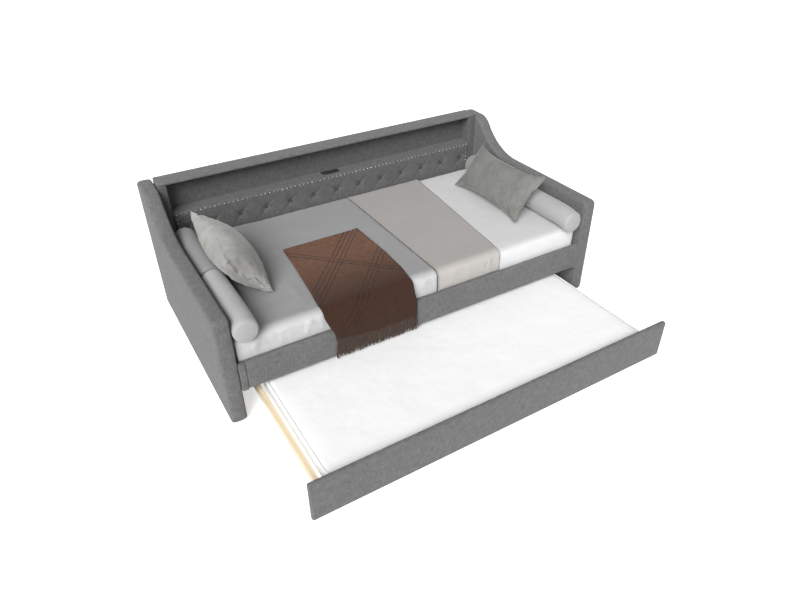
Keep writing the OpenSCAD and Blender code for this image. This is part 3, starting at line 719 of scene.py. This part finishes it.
# ---------- geometry node helpers
def newGeoTree(name, inputs):
    tree = bpy.data.node_groups.new(name, "GeometryNodeTree")
    tree.interface.new_socket("Geometry", in_out="INPUT", socket_type="NodeSocketGeometry")
    for label, kind, value in inputs:
        socket = tree.interface.new_socket(label, in_out="INPUT", socket_type="NodeSocket" + kind)
        if value is not None:
            socket.default_value = value
    tree.interface.new_socket("Geometry", in_out="OUTPUT", socket_type="NodeSocketGeometry")
    net = Net(tree)
    return tree, net, net.add("NodeGroupInput").outputs, net.add("NodeGroupOutput")


def endTree(net, given, out, geometry):
    smooth = net.add("GeometryNodeSetShadeSmooth", {"Geometry": geometry}).outputs[0]
    real = net.add("GeometryNodeRealizeInstances", {"Geometry": smooth}).outputs[0]
    painted = net.add("GeometryNodeSetMaterial", {"Geometry": real, "Material": given["Material"]})
    net.plug(out, "Geometry", painted.outputs[0])


def runTree(obj, tree, values):
    modifier = obj.modifiers.new(tree.name, "NODES")
    modifier.node_group = tree
    for item in tree.interface.items_tree:
        if item.item_type == "SOCKET" and item.in_out == "INPUT" and item.name in values:
            modifier[item.identifier] = values[item.name]
    return bakeModifiers(obj)


def hostMesh(name, points, edges=()):
    mesh = bpy.data.meshes.new(name)
    mesh.from_pydata(points, edges, [])
    obj = bpy.data.objects.new(name, mesh)
    scene.collection.objects.link(obj)
    return obj


# domes in a row: nailheads and buttons
def domeTree():
    tree, net, given, out = newGeoTree("domes", [("Radius", "Float", 0.0045), ("Height", "Float", 0.0025),
                                                 ("Material", "Material", None)])
    ball = net.add("GeometryNodeMeshUVSphere", {"Segments": 10, "Rings": 6, "Radius": 1.0}).outputs[0]
    scale = net.add("ShaderNodeCombineXYZ", {0: given["Radius"], 1: given["Height"],
                                             2: given["Radius"]}).outputs[0]
    points = net.add("GeometryNodeMeshToPoints", {"Mesh": given["Geometry"]}).outputs[0]
    domes = net.add("GeometryNodeInstanceOnPoints", {"Points": points, "Instance": ball,
                                                     "Scale": scale}).outputs[0]
    endTree(net, given, out, domes)
    return tree


# round piping or welting that follows the host's edges
def pipingTree():
    tree, net, given, out = newGeoTree("piping", [("Radius", "Float", 0.003), ("Step", "Float", 0.01),
                                                  ("Material", "Material", None)])
    path = net.add("GeometryNodeMeshToCurve", {"Mesh": given["Geometry"]}).outputs[0]
    even = net.add("GeometryNodeResampleCurve", {"Curve": path, "Length": given["Step"]}, mode="LENGTH")
    ring = net.add("GeometryNodeCurvePrimitiveCircle", {"Resolution": 8, "Radius": given["Radius"]})
    tube = net.add("GeometryNodeCurveToMesh", {"Curve": even.outputs[0], "Profile Curve": ring.outputs[0],
                                               "Fill Caps": True}).outputs[0]
    endTree(net, given, out, tube)
    return tree


# planks on points, each a bar along Y with rounded long edges
def slatTree():
    tree, net, given, out = newGeoTree("slats", [("Width", "Float", 0.07), ("Thickness", "Float", 0.015),
                                                 ("Length", "Float", 0.95), ("Rounding", "Float", 0.003),
                                                 ("Material", "Material", None)])
    shape = net.add("GeometryNodeCurvePrimitiveQuadrilateral", {"Width": given["Width"],
                                                                "Height": given["Thickness"]})
    soft = net.add("GeometryNodeFilletCurve", {"Curve": shape.outputs[0], "Radius": given["Rounding"],
                                               "Count": 3}, mode="POLY").outputs[0]
    end = net.add("ShaderNodeCombineXYZ", {1: given["Length"]}).outputs[0]
    line = net.add("GeometryNodeCurvePrimitiveLine", {"End": end}).outputs[0]
    bar = net.add("GeometryNodeCurveToMesh", {"Curve": line, "Profile Curve": soft,
                                              "Fill Caps": True}).outputs[0]
    points = net.add("GeometryNodeMeshToPoints", {"Mesh": given["Geometry"]}).outputs[0]
    bars = net.add("GeometryNodeInstanceOnPoints", {"Points": points, "Instance": bar}).outputs[0]
    real = net.add("GeometryNodeRealizeInstances", {"Geometry": bars}).outputs[0]
    painted = net.add("GeometryNodeSetMaterial", {"Geometry": real, "Material": given["Material"]})
    net.plug(out, "Geometry", painted.outputs[0])
    return tree


# loose yarn ends along the host's edges
def fringeTree():
    tree, net, given, out = newGeoTree("fringe", [
        ("Strands", "Int", 200), ("EndHeight", "Float", 0.163), ("Yarn", "Float", 0.001),
        ("Tilt", "Float", 0.2), ("Sway", "Float", 0.009), ("Depth", "Float", 0.09), ("Seed", "Int", 3),
        ("Material", "Material", None)])
    path = net.add("GeometryNodeMeshToCurve", {"Mesh": given["Geometry"]}).outputs[0]
    roots = net.add("GeometryNodeResampleCurve", {"Curve": path, "Count": given["Strands"]}).outputs[0]
    line = net.add("GeometryNodeCurvePrimitiveLine", {"End": (0, 0, -1)}).outputs[0]
    yarn = net.add("GeometryNodeResampleCurve", {"Curve": line, "Count": 8}).outputs[0]
    share = net.add("FunctionNodeRandomValue", {2: 0.78, 3: 1.0, "Seed": given["Seed"]}).outputs[1]
    root = net.add("ShaderNodeSeparateXYZ", {0: net.add("GeometryNodeInputPosition").outputs[0]}).outputs[2]
    drop = net.math("MULTIPLY", share, net.math("SUBTRACT", root, given["EndHeight"]))
    size = net.add("ShaderNodeCombineXYZ", {0: 1.0, 1: 1.0, 2: drop}).outputs[0]
    lean = net.add("FunctionNodeRandomValue", {2: -1.0, 3: 1.0, "Seed": net.math("ADD", given["Seed"], 7)})
    turn = net.add("ShaderNodeCombineXYZ", {1: net.math("MULTIPLY", lean.outputs[1], given["Tilt"])})
    strands = net.add("GeometryNodeInstanceOnPoints", {"Points": roots, "Instance": yarn, "Scale": size,
                                                       "Rotation": turn.outputs[0]}).outputs[0]
    loose = net.add("GeometryNodeRealizeInstances", {"Geometry": strands}).outputs[0]
    factor = net.add("GeometryNodeSplineParameter").outputs["Factor"]
    place = net.add("GeometryNodeInputPosition").outputs[0]
    swirl = net.add("ShaderNodeTexNoise", {"Vector": place, "Scale": 42.0, "Detail": 2.0}).outputs["Color"]
    side = net.add("ShaderNodeSeparateXYZ", {0: swirl}).outputs
    reach = net.math("MULTIPLY", factor, net.math("MULTIPLY", given["Sway"], 2.0))
    moveX = net.math("MULTIPLY", net.math("SUBTRACT", side[0], 0.5), reach)
    moveY = net.math("MULTIPLY", net.math("SUBTRACT", side[1], 0.5), net.math("MULTIPLY", reach,
                                                                              given["Depth"]))
    offset = net.add("ShaderNodeCombineXYZ", {0: moveX, 1: moveY}).outputs[0]
    moved = net.add("GeometryNodeSetPosition", {"Geometry": loose, "Offset": offset}).outputs[0]
    ring = net.add("GeometryNodeCurvePrimitiveCircle", {"Resolution": 4, "Radius": given["Yarn"]})
    tube = net.add("GeometryNodeCurveToMesh", {"Curve": moved, "Profile Curve": ring.outputs[0],
                                               "Fill Caps": True}).outputs[0]
    endTree(net, given, out, tube)
    return tree


domes, piping, slats, fringe = domeTree(), pipingTree(), slatTree(), fringeTree()


# ---------- buttons, nailheads and slats
def makeRows():
    panelFace = headLow.y - 0.004
    sink = panelFace + tuft["depth"] * 0.85
    buttons = hostMesh("tuftButtons", [(x, sink, z) for x, z in buttonPlaces])
    # the buttons take the darkened linen, painted shade of the pits
    runTree(buttons, domes, {"Radius": 0.0092, "Height": 0.0048, "Material": buttonShadeLinen})
    standFor(buttons, "tufting_buttons")

    rowY, rowZ, pitch, span = headLow.y - 0.0038, 0.568, 0.025, 36
    spots = [(k * pitch, rowY, rowZ) for k in range(-span, span + 1)]
    spots += [(side * span * pitch, rowY, rowZ - k * pitch) for side in (-1, 1) for k in range(1, 6)]
    nails = hostMesh("nailheads", spots)
    runTree(nails, domes, {"Radius": 0.0042, "Height": 0.0025, "Material": nickel})
    standFor(nails, "nailhead_trim")


def makeSlats(node, name, count, pitch, width, body, material):
    low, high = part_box(node)
    middle = (low.z + high.z) / 2
    spots = [((k - (count - 1) / 2) * pitch, low.y, middle) for k in range(count)]
    obj = hostMesh(name, spots)
    runTree(obj, slats, {"Width": width, "Thickness": high.z - low.z, "Length": high.y - low.y,
                         "Rounding": 0.003, "Material": material})
    standFor(obj, node, body)


makeRows()
makeSlats("bed_slats", "bedSlats", 13, 0.136, 0.07, "daybed", pineAlongY)
makeSlats("trundle_slats", "trundleSlats", 11, 0.160, 0.07, "trundle", pineAlongY)
print("buttons, nailheads and slats ready")


# ---------- mattresses
def pipeRound(name, low, high, inset, radius, z, material, corner=0.03):
    spots = []
    for cx, cy, start in ((high.x, high.y, 0), (low.x, high.y, 1), (low.x, low.y, 2), (high.x, low.y, 3)):
        sx, sy = (1 if cx == high.x else -1), (1 if cy == high.y else -1)
        for k in range(7):
            a = math.pi / 2 * (start + k / 6)
            spots.append((cx - sx * (inset + corner) + corner * math.cos(a),
                          cy - sy * (inset + corner) + corner * math.sin(a), z))
    obj = hostMesh(name, spots, [(k, (k + 1) % len(spots)) for k in range(len(spots))])
    return runTree(obj, piping, {"Radius": radius, "Step": 0.012, "Material": material})


mattresses = {"radius": 0.026, "swell": 0.0025, "inset": 0.0035, "uneven": 0.0012}


def makeMattress(node, name, material, body, top):
    m = mattresses
    low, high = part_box(node)
    inset = Vector((m["inset"],) * 3)
    obj = paddedBox(name, low + inset, Vector((high.x - m["inset"], high.y - m["inset"], top)), material,
                    radius=m["radius"], step=0.022, swell=m["swell"], swellWidth=0.07, uneven=m["uneven"])
    standFor(obj, node, body)
    return obj, low, high


makeMattress("daybed_mattress", "daybedMattress", sheetCotton, "daybed", 0.4185)
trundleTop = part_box("trundle_mattress")[1].z
makeMattress("trundle_mattress", "trundleMattress", mattressCotton, "trundle",
             trundleTop - 0.004)
low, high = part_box("trundle_mattress")
for height, label in ((trundleTop - 0.0105, "Top"), (low.z + 0.014, "Foot")):
    welt = pipeRound("trundleWelt" + label, low, high, 0.0065, 0.0028, height, mattressCotton)
    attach(welt, "trundle")
print("mattresses ready")


# ---------- draped cloth
class Path:
    # a smooth line through given (y, z) points; at(s) gives the place and the outward normal
    def __init__(self, points):
        pts = [Vector(p) for p in points]
        self.spots = []
        for k in range(len(pts) - 1):
            a, b, c, d = pts[max(k - 1, 0)], pts[k], pts[k + 1], pts[min(k + 2, len(pts) - 1)]
            for i in range(16):
                t = i / 16
                self.spots.append(0.5 * (2 * b + (c - a) * t + (2 * a - 5 * b + 4 * c - d) * t * t
                                         + (3 * b - a - 3 * c + d) * t ** 3))
        self.spots.append(pts[-1])
        self.reach = [0.0]
        for k in range(1, len(self.spots)):
            self.reach.append(self.reach[-1] + (self.spots[k] - self.spots[k - 1]).length)
        self.length = self.reach[-1]

    def at(self, s):
        k = 1
        while k < len(self.reach) - 1 and self.reach[k] < s:
            k += 1
        a, b = self.spots[k - 1], self.spots[k]
        span = self.reach[k] - self.reach[k - 1]
        t = (s - self.reach[k - 1]) / span
        run = (b - a).normalized()
        return a + (b - a) * t, Vector((run.y, -run.x))


# cloth over a path: columns across X, rows along the path
def drapedCloth(name, path, edges, material, thick, step, lift, hem=None):
    rows = round(path.length / step)
    columns = round(abs(edges(0.0)[1] - edges(0.0)[0]) / step)
    upper, lower, uvs = [], [], []
    for i in range(rows + 1):
        for j in range(columns + 1):
            t = j / columns
            s = path.length * i / rows
            x = edges(s)[0] * (1 - t) + edges(s)[1] * t
            if hem:
                s += hem(x) * max(0, (s - path.length * 0.8) / (path.length * 0.2))
            place, normal = path.at(s)
            rise = lift(x, s, place)
            at = place + normal * rise
            up = at + normal * thick
            lower.append((x, at.x, at.y))
            upper.append((x, up.x, up.y))
            uvs.append((x, -s))
    verts, n, w = upper + lower, len(upper), columns + 1
    faces = []
    for i in range(rows):
        for j in range(columns):
            k = i * w + j
            faces += [(k, k + w, k + w + 1, k + 1), (n + k, n + k + 1, n + k + w + 1, n + k + w)]
    rim = [j for j in range(w)] + [i * w + columns for i in range(1, rows + 1)]
    rim += [rows * w + j for j in range(columns - 1, -1, -1)] + [i * w for i in range(rows - 1, 0, -1)]
    for k, a in enumerate(rim):
        b = rim[(k + 1) % len(rim)]
        faces.append((a, b, n + b, n + a))
    obj = meshObject(name, verts, faces, material)
    layer = obj.data.uv_layers.new(name="cloth")
    for loop in obj.data.loops:
        layer.data[loop.index].uv = uvs[loop.vertex_index % n]
    bm = bmesh.new()
    bm.from_mesh(obj.data)
    bmesh.ops.recalc_face_normals(bm, faces=bm.faces)
    bm.to_mesh(obj.data)
    bm.free()
    return obj


def wave(x, y, size, seed=0.0):
    return noise.noise(Vector((x / size, y / size, seed)))


def ease(value, low, high):
    t = min(1, max(0, (value - low) / (high - low)))
    return t * t * (3 - 2 * t)


# silver and taupe blankets lie on the mattress and tuck down behind the front rail
blanketLook2 = {"thick": 0.0026, "step": 0.011, "ripple": 0.009, "frontRipple": 0.011}
blanketLine = [(0.723, 0.4232), (0.6, 0.4232), (0.45, 0.4232), (0.3, 0.4232), (0.15, 0.4232),
               (0.0, 0.4232), (-0.1, 0.4232), (-0.155, 0.4231), (-0.183, 0.4222), (-0.2, 0.4165),
               (-0.2098, 0.405), (-0.2124, 0.389), (-0.2128, 0.365), (-0.2128, 0.34), (-0.2128, 0.308)]
blanketPath = Path(blanketLine)


# how freely the silver blanket can ripple: flat where the throw, pillow and bolsters press on it
def silverFree(x, y):
    throw = 1 - ease(x, -0.60, -0.56) * ease(-x, 0.06, 0.075) * ease(-y, -0.38, -0.355)
    bolster = ease(x, -0.83, -0.78)
    pillow = 1 - ease(-x, 0.58, 0.62) * ease(y, -0.08, -0.04) * ease(-y, -0.56, -0.52)
    return throw * bolster * pillow * ease(-x, -0.055, -0.01)


def silverLift(x, s, place):
    if place.y < 0.40:
        near = ease(place.y, 0.318, 0.345)
        folds = max(0, wave(x, place.y * 0.3, 0.034, 2.0)) + 0.6 * max(0, wave(x, place.y, 0.02, 5.0))
        return blanketLook2["frontRipple"] * folds * near * ease(x, -0.945, -0.92) * ease(-x, -0.05, -0.02)
    free = silverFree(x, place.x)
    broad = max(0, wave(x * 0.8 + place.x * 0.5, place.x * 0.7 - x * 0.2, 0.17, 1.0))
    fine = max(0, wave(x + place.x * 0.7, place.x - x * 0.5, 0.06, 3.0))
    return free * (blanketLook2["ripple"] * broad + 0.0022 * fine)


def taupeLift(x, s, place):
    inside = ease(x, 0.058, 0.075)
    if place.y < 0.40:
        folds = max(0, wave(x, place.y * 0.2, 0.03, 8.0))
        return blanketLook2["frontRipple"] * 0.8 * folds * ease(place.y, 0.318, 0.35) * inside
    bolsterFree = 1 - ease(x, 0.8, 0.84)
    ripples = max(0, wave((x - place.x) * 0.9, (x + place.x) * 0.35, 0.075, 4.0))
    far = 0.35 + 0.65 * ease(place.x, 0.2, 0.6) * ease(x, 0.2, 0.45)
    return bolsterFree * 0.0055 * ripples * far * inside


def makeBlankets():
    look = blanketLook2
    total = blanketPath.length

    def hem(x):
        return -0.004 * max(0, wave(x, 0, 0.05, 9.0))

    silver = drapedCloth("silverBlanket", blanketPath, lambda s: (-0.9475, 0.054), silverCloth,
                         look["thick"], look["step"], silverLift, hem)
    standFor(silver, "silver_blanket")

    def taupeEdges(s):
        place = blanketPath.at(s)[0]
        return 0.059, 0.434 + (0.534 - 0.434) * max(0, min(1, (place.x + 0.18) / 0.90))

    taupe = drapedCloth("taupeBlanket", blanketPath, taupeEdges, taupeCloth, look["thick"], look["step"],
                        taupeLift, lambda x: -0.003 * max(0, wave(x, 0, 0.06, 4.0)))
    standFor(taupe, "taupe_blanket")
    # a rolled edge runs down the taupe blanket's left side, and a dark strip down the silver one's right as
    # painted shadow of the gap between them
    for name, x, out, radius, material in (("taupeEdge", 0.0612, 0.0028, 0.003, taupeCloth),
                                           ("silverGapShadow", 0.0548, 0.0014, 0.0024, gapShadowCloth)):
        spots = []
        for k in range(81):
            place, normal = blanketPath.at(total * k / 80)
            at = place + normal * out
            spots.append((x, at.x, at.y))
        edge = hostMesh(name, spots, [(k, k + 1) for k in range(80)])
        runTree(edge, piping, {"Radius": radius, "Step": 0.012, "Material": material})
        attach(edge, "daybed")


makeBlankets()

# the throw runs over the blanket and hangs in front of the rail
throwLine = [(0.352, 0.4294), (0.25, 0.4294), (0.12, 0.4294), (0.0, 0.4294), (-0.09, 0.4294),
             (-0.15, 0.4294), (-0.185, 0.4291), (-0.208, 0.4255), (-0.2245, 0.4125), (-0.2335, 0.391),
             (-0.2405, 0.36), (-0.2462, 0.331), (-0.2475, 0.305), (-0.2478, 0.28), (-0.2478, 0.2475)]
throwPath = Path(throwLine)
throwCut = {"thick": 0.0026, "step": 0.009, "strands": 225, "fringeEnd": 0.1635, "yarn": 0.0016}


def follow(value, table):
    # table: rising (at, amount) pairs
    if value <= table[0][0]:
        return table[0][1]
    for (a, u), (b, v) in zip(table, table[1:]):
        if value <= b:
            return u + (v - u) * (value - a) / (b - a)
    return table[-1][1]


throwLeft = ((0.0, -0.499), (0.117, -0.507), (0.275, -0.524), (0.422, -0.540), (0.533, -0.554),
             (0.60, -0.551), (0.66, -0.534), (0.70, -0.517), (0.76, -0.507))
throwRight = ((0.0, -0.080), (0.15, -0.0735), (0.29, -0.0725), (0.44, -0.077), (0.54, -0.090),
              (0.60, -0.090), (0.68, -0.083), (0.76, -0.0825))


def throwEdges(s):
    return follow(s, throwLeft), follow(s, throwRight)


def throwLift(x, s, place):
    if place.y < 0.40:
        fold = 0.5 + 0.5 * math.sin(x * 62 + 1.3 + 2.2 * wave(x, 0, 0.1, 3.0))
        return 0.0042 * fold * ease(-place.y, -0.40, -0.30)
    broad = max(0, wave(x, place.x, 0.11, 7.0))
    curl = 0.004 * ease(-s, -0.03, 0) + 0.003 * (ease(x, -0.12, -0.075) + ease(-x, 0.49, 0.54))
    return 0.0045 * broad + curl


def throwHem(x):
    return follow(x, ((-0.51, -0.026), (-0.42, -0.008), (-0.3, 0.004), (-0.08, 0.010)))


def makeThrow():
    cut = throwCut
    obj = drapedCloth("brownThrow", throwPath, throwEdges, wool, cut["thick"], cut["step"], throwLift,
                      throwHem)
    standFor(obj, "brown_throw")
    spots, count = [], 120
    left, right = throwEdges(throwPath.length)
    for k in range(count + 1):
        x = left + (right - left) * (0.006 + 0.988 * k / count)
        s = throwPath.length + throwHem(x)
        place, normal = throwPath.at(s)
        at = place + normal * (throwLift(x, s, place) + cut["thick"] * 0.4)
        spots.append((x, at.x, at.y + 0.001))
    ends = hostMesh("throwFringe", spots, [(k, k + 1) for k in range(count)])
    runTree(ends, fringe, {"Strands": cut["strands"], "EndHeight": cut["fringeEnd"], "Yarn": cut["yarn"],
                           "Material": yarn})
    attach(ends, "daybed")


makeThrow()
print("blankets and throw ready")


# ---------- pillows and bolsters
def inflate(obj, pressure, limit, grow=0.0):
    start = [v.co.copy() for v in obj.data.vertices]
    cloth = obj.modifiers.new("cloth", "CLOTH")
    cloth.settings.quality = 6
    cloth.settings.mass = 0.25
    cloth.settings.tension_stiffness = cloth.settings.compression_stiffness = 12
    cloth.settings.shear_stiffness = 6
    cloth.settings.bending_stiffness = 0.15
    cloth.settings.use_pressure = True
    cloth.settings.uniform_pressure_force = pressure
    cloth.settings.shrink_min = -grow
    cloth.settings.effector_weights.gravity = 0
    cloth.collision_settings.use_collision = False
    for k in range(1, 21):
        scene.frame_set(k)
    bakeModifiers(obj)
    scene.frame_set(1)
    for v, old in zip(obj.data.vertices, start):
        move = v.co - old
        if move.length > limit:
            move *= limit / move.length
        v.co = old + move
    return obj


def subdivide(obj, levels=1):
    sub = obj.modifiers.new("smooth", "SUBSURF")
    sub.levels = sub.render_levels = levels
    return bakeModifiers(obj)


pillows = {"lean": 49, "length": 0.279, "height": 0.141, "pullShort": 0.08, "grid": (84, 48), "pleat": 0.006}
bolsterNodes = ("left_back_bolster", "left_front_bolster", "right_back_bolster", "right_front_bolster")
bolsterBoxes = [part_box(node) for node in bolsterNodes]


# keeps a soft point on top of what it leans on
def pushOut(place, floor):
    place.z = max(place.z, floor)
    for low, high in bolsterBoxes:
        axis = (low + high) / 2
        away = Vector((place.x - axis.x, 0, place.z - axis.z))
        reach = (high.z - low.z) / 2 + 0.001
        if low.y < place.y < high.y and away.length < reach:
            place += away.normalized() * (reach - away.length)
    return place


def makePillow(node, side, floor, puff, pull, material, seed):
    p = pillows
    low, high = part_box(node)
    centre = (low + high) / 2
    lean = math.radians(p["lean"])
    up = Vector((side * math.cos(lean), 0, math.sin(lean)))
    out = Vector((-side * math.sin(lean), 0, math.cos(lean)))
    nu, nv = p["grid"]
    verts, index = [], {}
    for face in (1, -1):
        for i in range(nu + 1):
            for j in range(nv + 1):
                rim = i in (0, nu) or j in (0, nv)
                if rim and face < 0:
                    index[(face, i, j)] = index[(1, i, j)]
                    continue
                u = math.sin(math.pi * (i / nu - 0.5))
                v = math.sin(math.pi * (j / nv - 0.5))
                a = p["length"] * u * (1 - p["pullShort"] * (1 - v * v) * u * u)
                b = p["height"] * v * (1 - pull * (1 - u * u) * v * v)
                full = ((1 - u * u) * (1 - v * v)) ** 0.42
                edge = (1 - max(abs(u), abs(v))) * 4
                turn = math.atan2(v * 0.5, u) * 8
                pleat = noise.noise(Vector((u * 8 + v, turn, seed + face))) * math.exp(-edge * edge * 0.35)
                c = face * (puff * full + p["pleat"] * pleat * min(1, full * 3))
                c += 0.006 * noise.noise(Vector((u * 1.6, v * 1.6, seed + 4)))
                index[(face, i, j)] = len(verts)
                verts.append(centre + Vector((0, a, 0)) + up * b + out * c)
    faces = []
    for face in (1, -1):
        for i in range(nu):
            for j in range(nv):
                loop = [index[(face, *ij)] for ij in ((i, j), (i + 1, j), (i + 1, j + 1), (i, j + 1))]
                faces.append(loop if face > 0 else loop[::-1])
    for vert in verts:
        pushOut(vert, floor)
    obj = tidyMesh(meshObject(node.title().replace("_", ""), verts, faces, material), 1e-7)
    inflate(obj, 4.0, 0.012, 0.05)
    for vert in obj.data.vertices:
        pushOut(vert.co, floor)
    subdivide(obj)
    standFor(boxUv(obj), node)
    return obj


makePillow("left_pillow", -1, 0.4296, 0.100, 0.07, velvetLit, 2.0)
makePillow("right_pillow", 1, 0.4235, 0.068, 0.16, velvetShaded, 8.0)
print("pillows ready")

bolsters = {"round": 0.016, "ring": 36, "step": 0.011, "shrink": 0.0022, "sag": 0.016, "sagFrom": -0.165}


def makeBolster(node, material, seed):
    b = bolsters
    low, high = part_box(node)
    centre = (low + high) / 2
    radius = (high.z - low.z) / 2 - b["shrink"]
    half = (high.y - low.y) / 2 - 0.003
    profile = [(-half, 0.0)]
    for k in range(1, 5):                             # the end disc, crowned
        r = (radius - b["round"]) * k / 5
        profile.append((-half + 0.004 * (k / 5) ** 2, r))
    for k in range(7):
        a = math.pi / 2 * k / 6
        profile.append((-half + 0.005 + b["round"] * (1 - math.cos(a)),
                        radius - b["round"] + b["round"] * math.sin(a)))
    straight = half - 0.005 - b["round"]
    count = round(straight / b["step"])
    profile += [(-straight + straight * k / count, radius) for k in range(1, count + 1)]
    profile += [(-y, r) for y, r in reversed(profile[:-1])]
    verts = [(centre.x, centre.y + profile[0][0], centre.z)]
    ring = b["ring"]
    for y, r in profile[1:-1]:
        for k in range(ring):
            a = 2 * math.pi * k / ring
            slack = 1 + 0.012 * noise.noise(Vector((math.cos(a) * 1.5, math.sin(a) * 1.5, y * 14 + seed)))
            slack = min(slack, 1.004)
            verts.append((centre.x + r * slack * math.cos(a), centre.y + y,
                          centre.z + r * slack * math.sin(a)))
    verts.append((centre.x, centre.y + profile[-1][0], centre.z))
    faces = []
    rings = len(profile) - 2
    for k in range(ring):
        n = (k + 1) % ring
        faces.append((0, 1 + k, 1 + n))
        for i in range(rings - 1):
            a, c = 1 + i * ring, 1 + (i + 1) * ring
            faces.append((a + k, c + k, c + n, a + n))
        last = 1 + (rings - 1) * ring
        faces.append((last + k, len(verts) - 1, last + n))
    obj = tidyMesh(meshObject(node.title().replace("_", ""), verts, faces, material), 1e-7)
    inflate(obj, 4.0, 0.002, 0.01)
    for vert in obj.data.vertices:                    # the end past the mattress sags a little
        past = max(0, b["sagFrom"] - vert.co.y)
        vert.co.z -= b["sag"] * (past / 0.095) ** 1.6
    subdivide(obj)
    standFor(boxUv(obj), node)


for k, node in enumerate(bolsterNodes):
    makeBolster(node, bolsterDeep if "back" in node else bolsterSatin, k * 3.7)
print("bolsters ready")
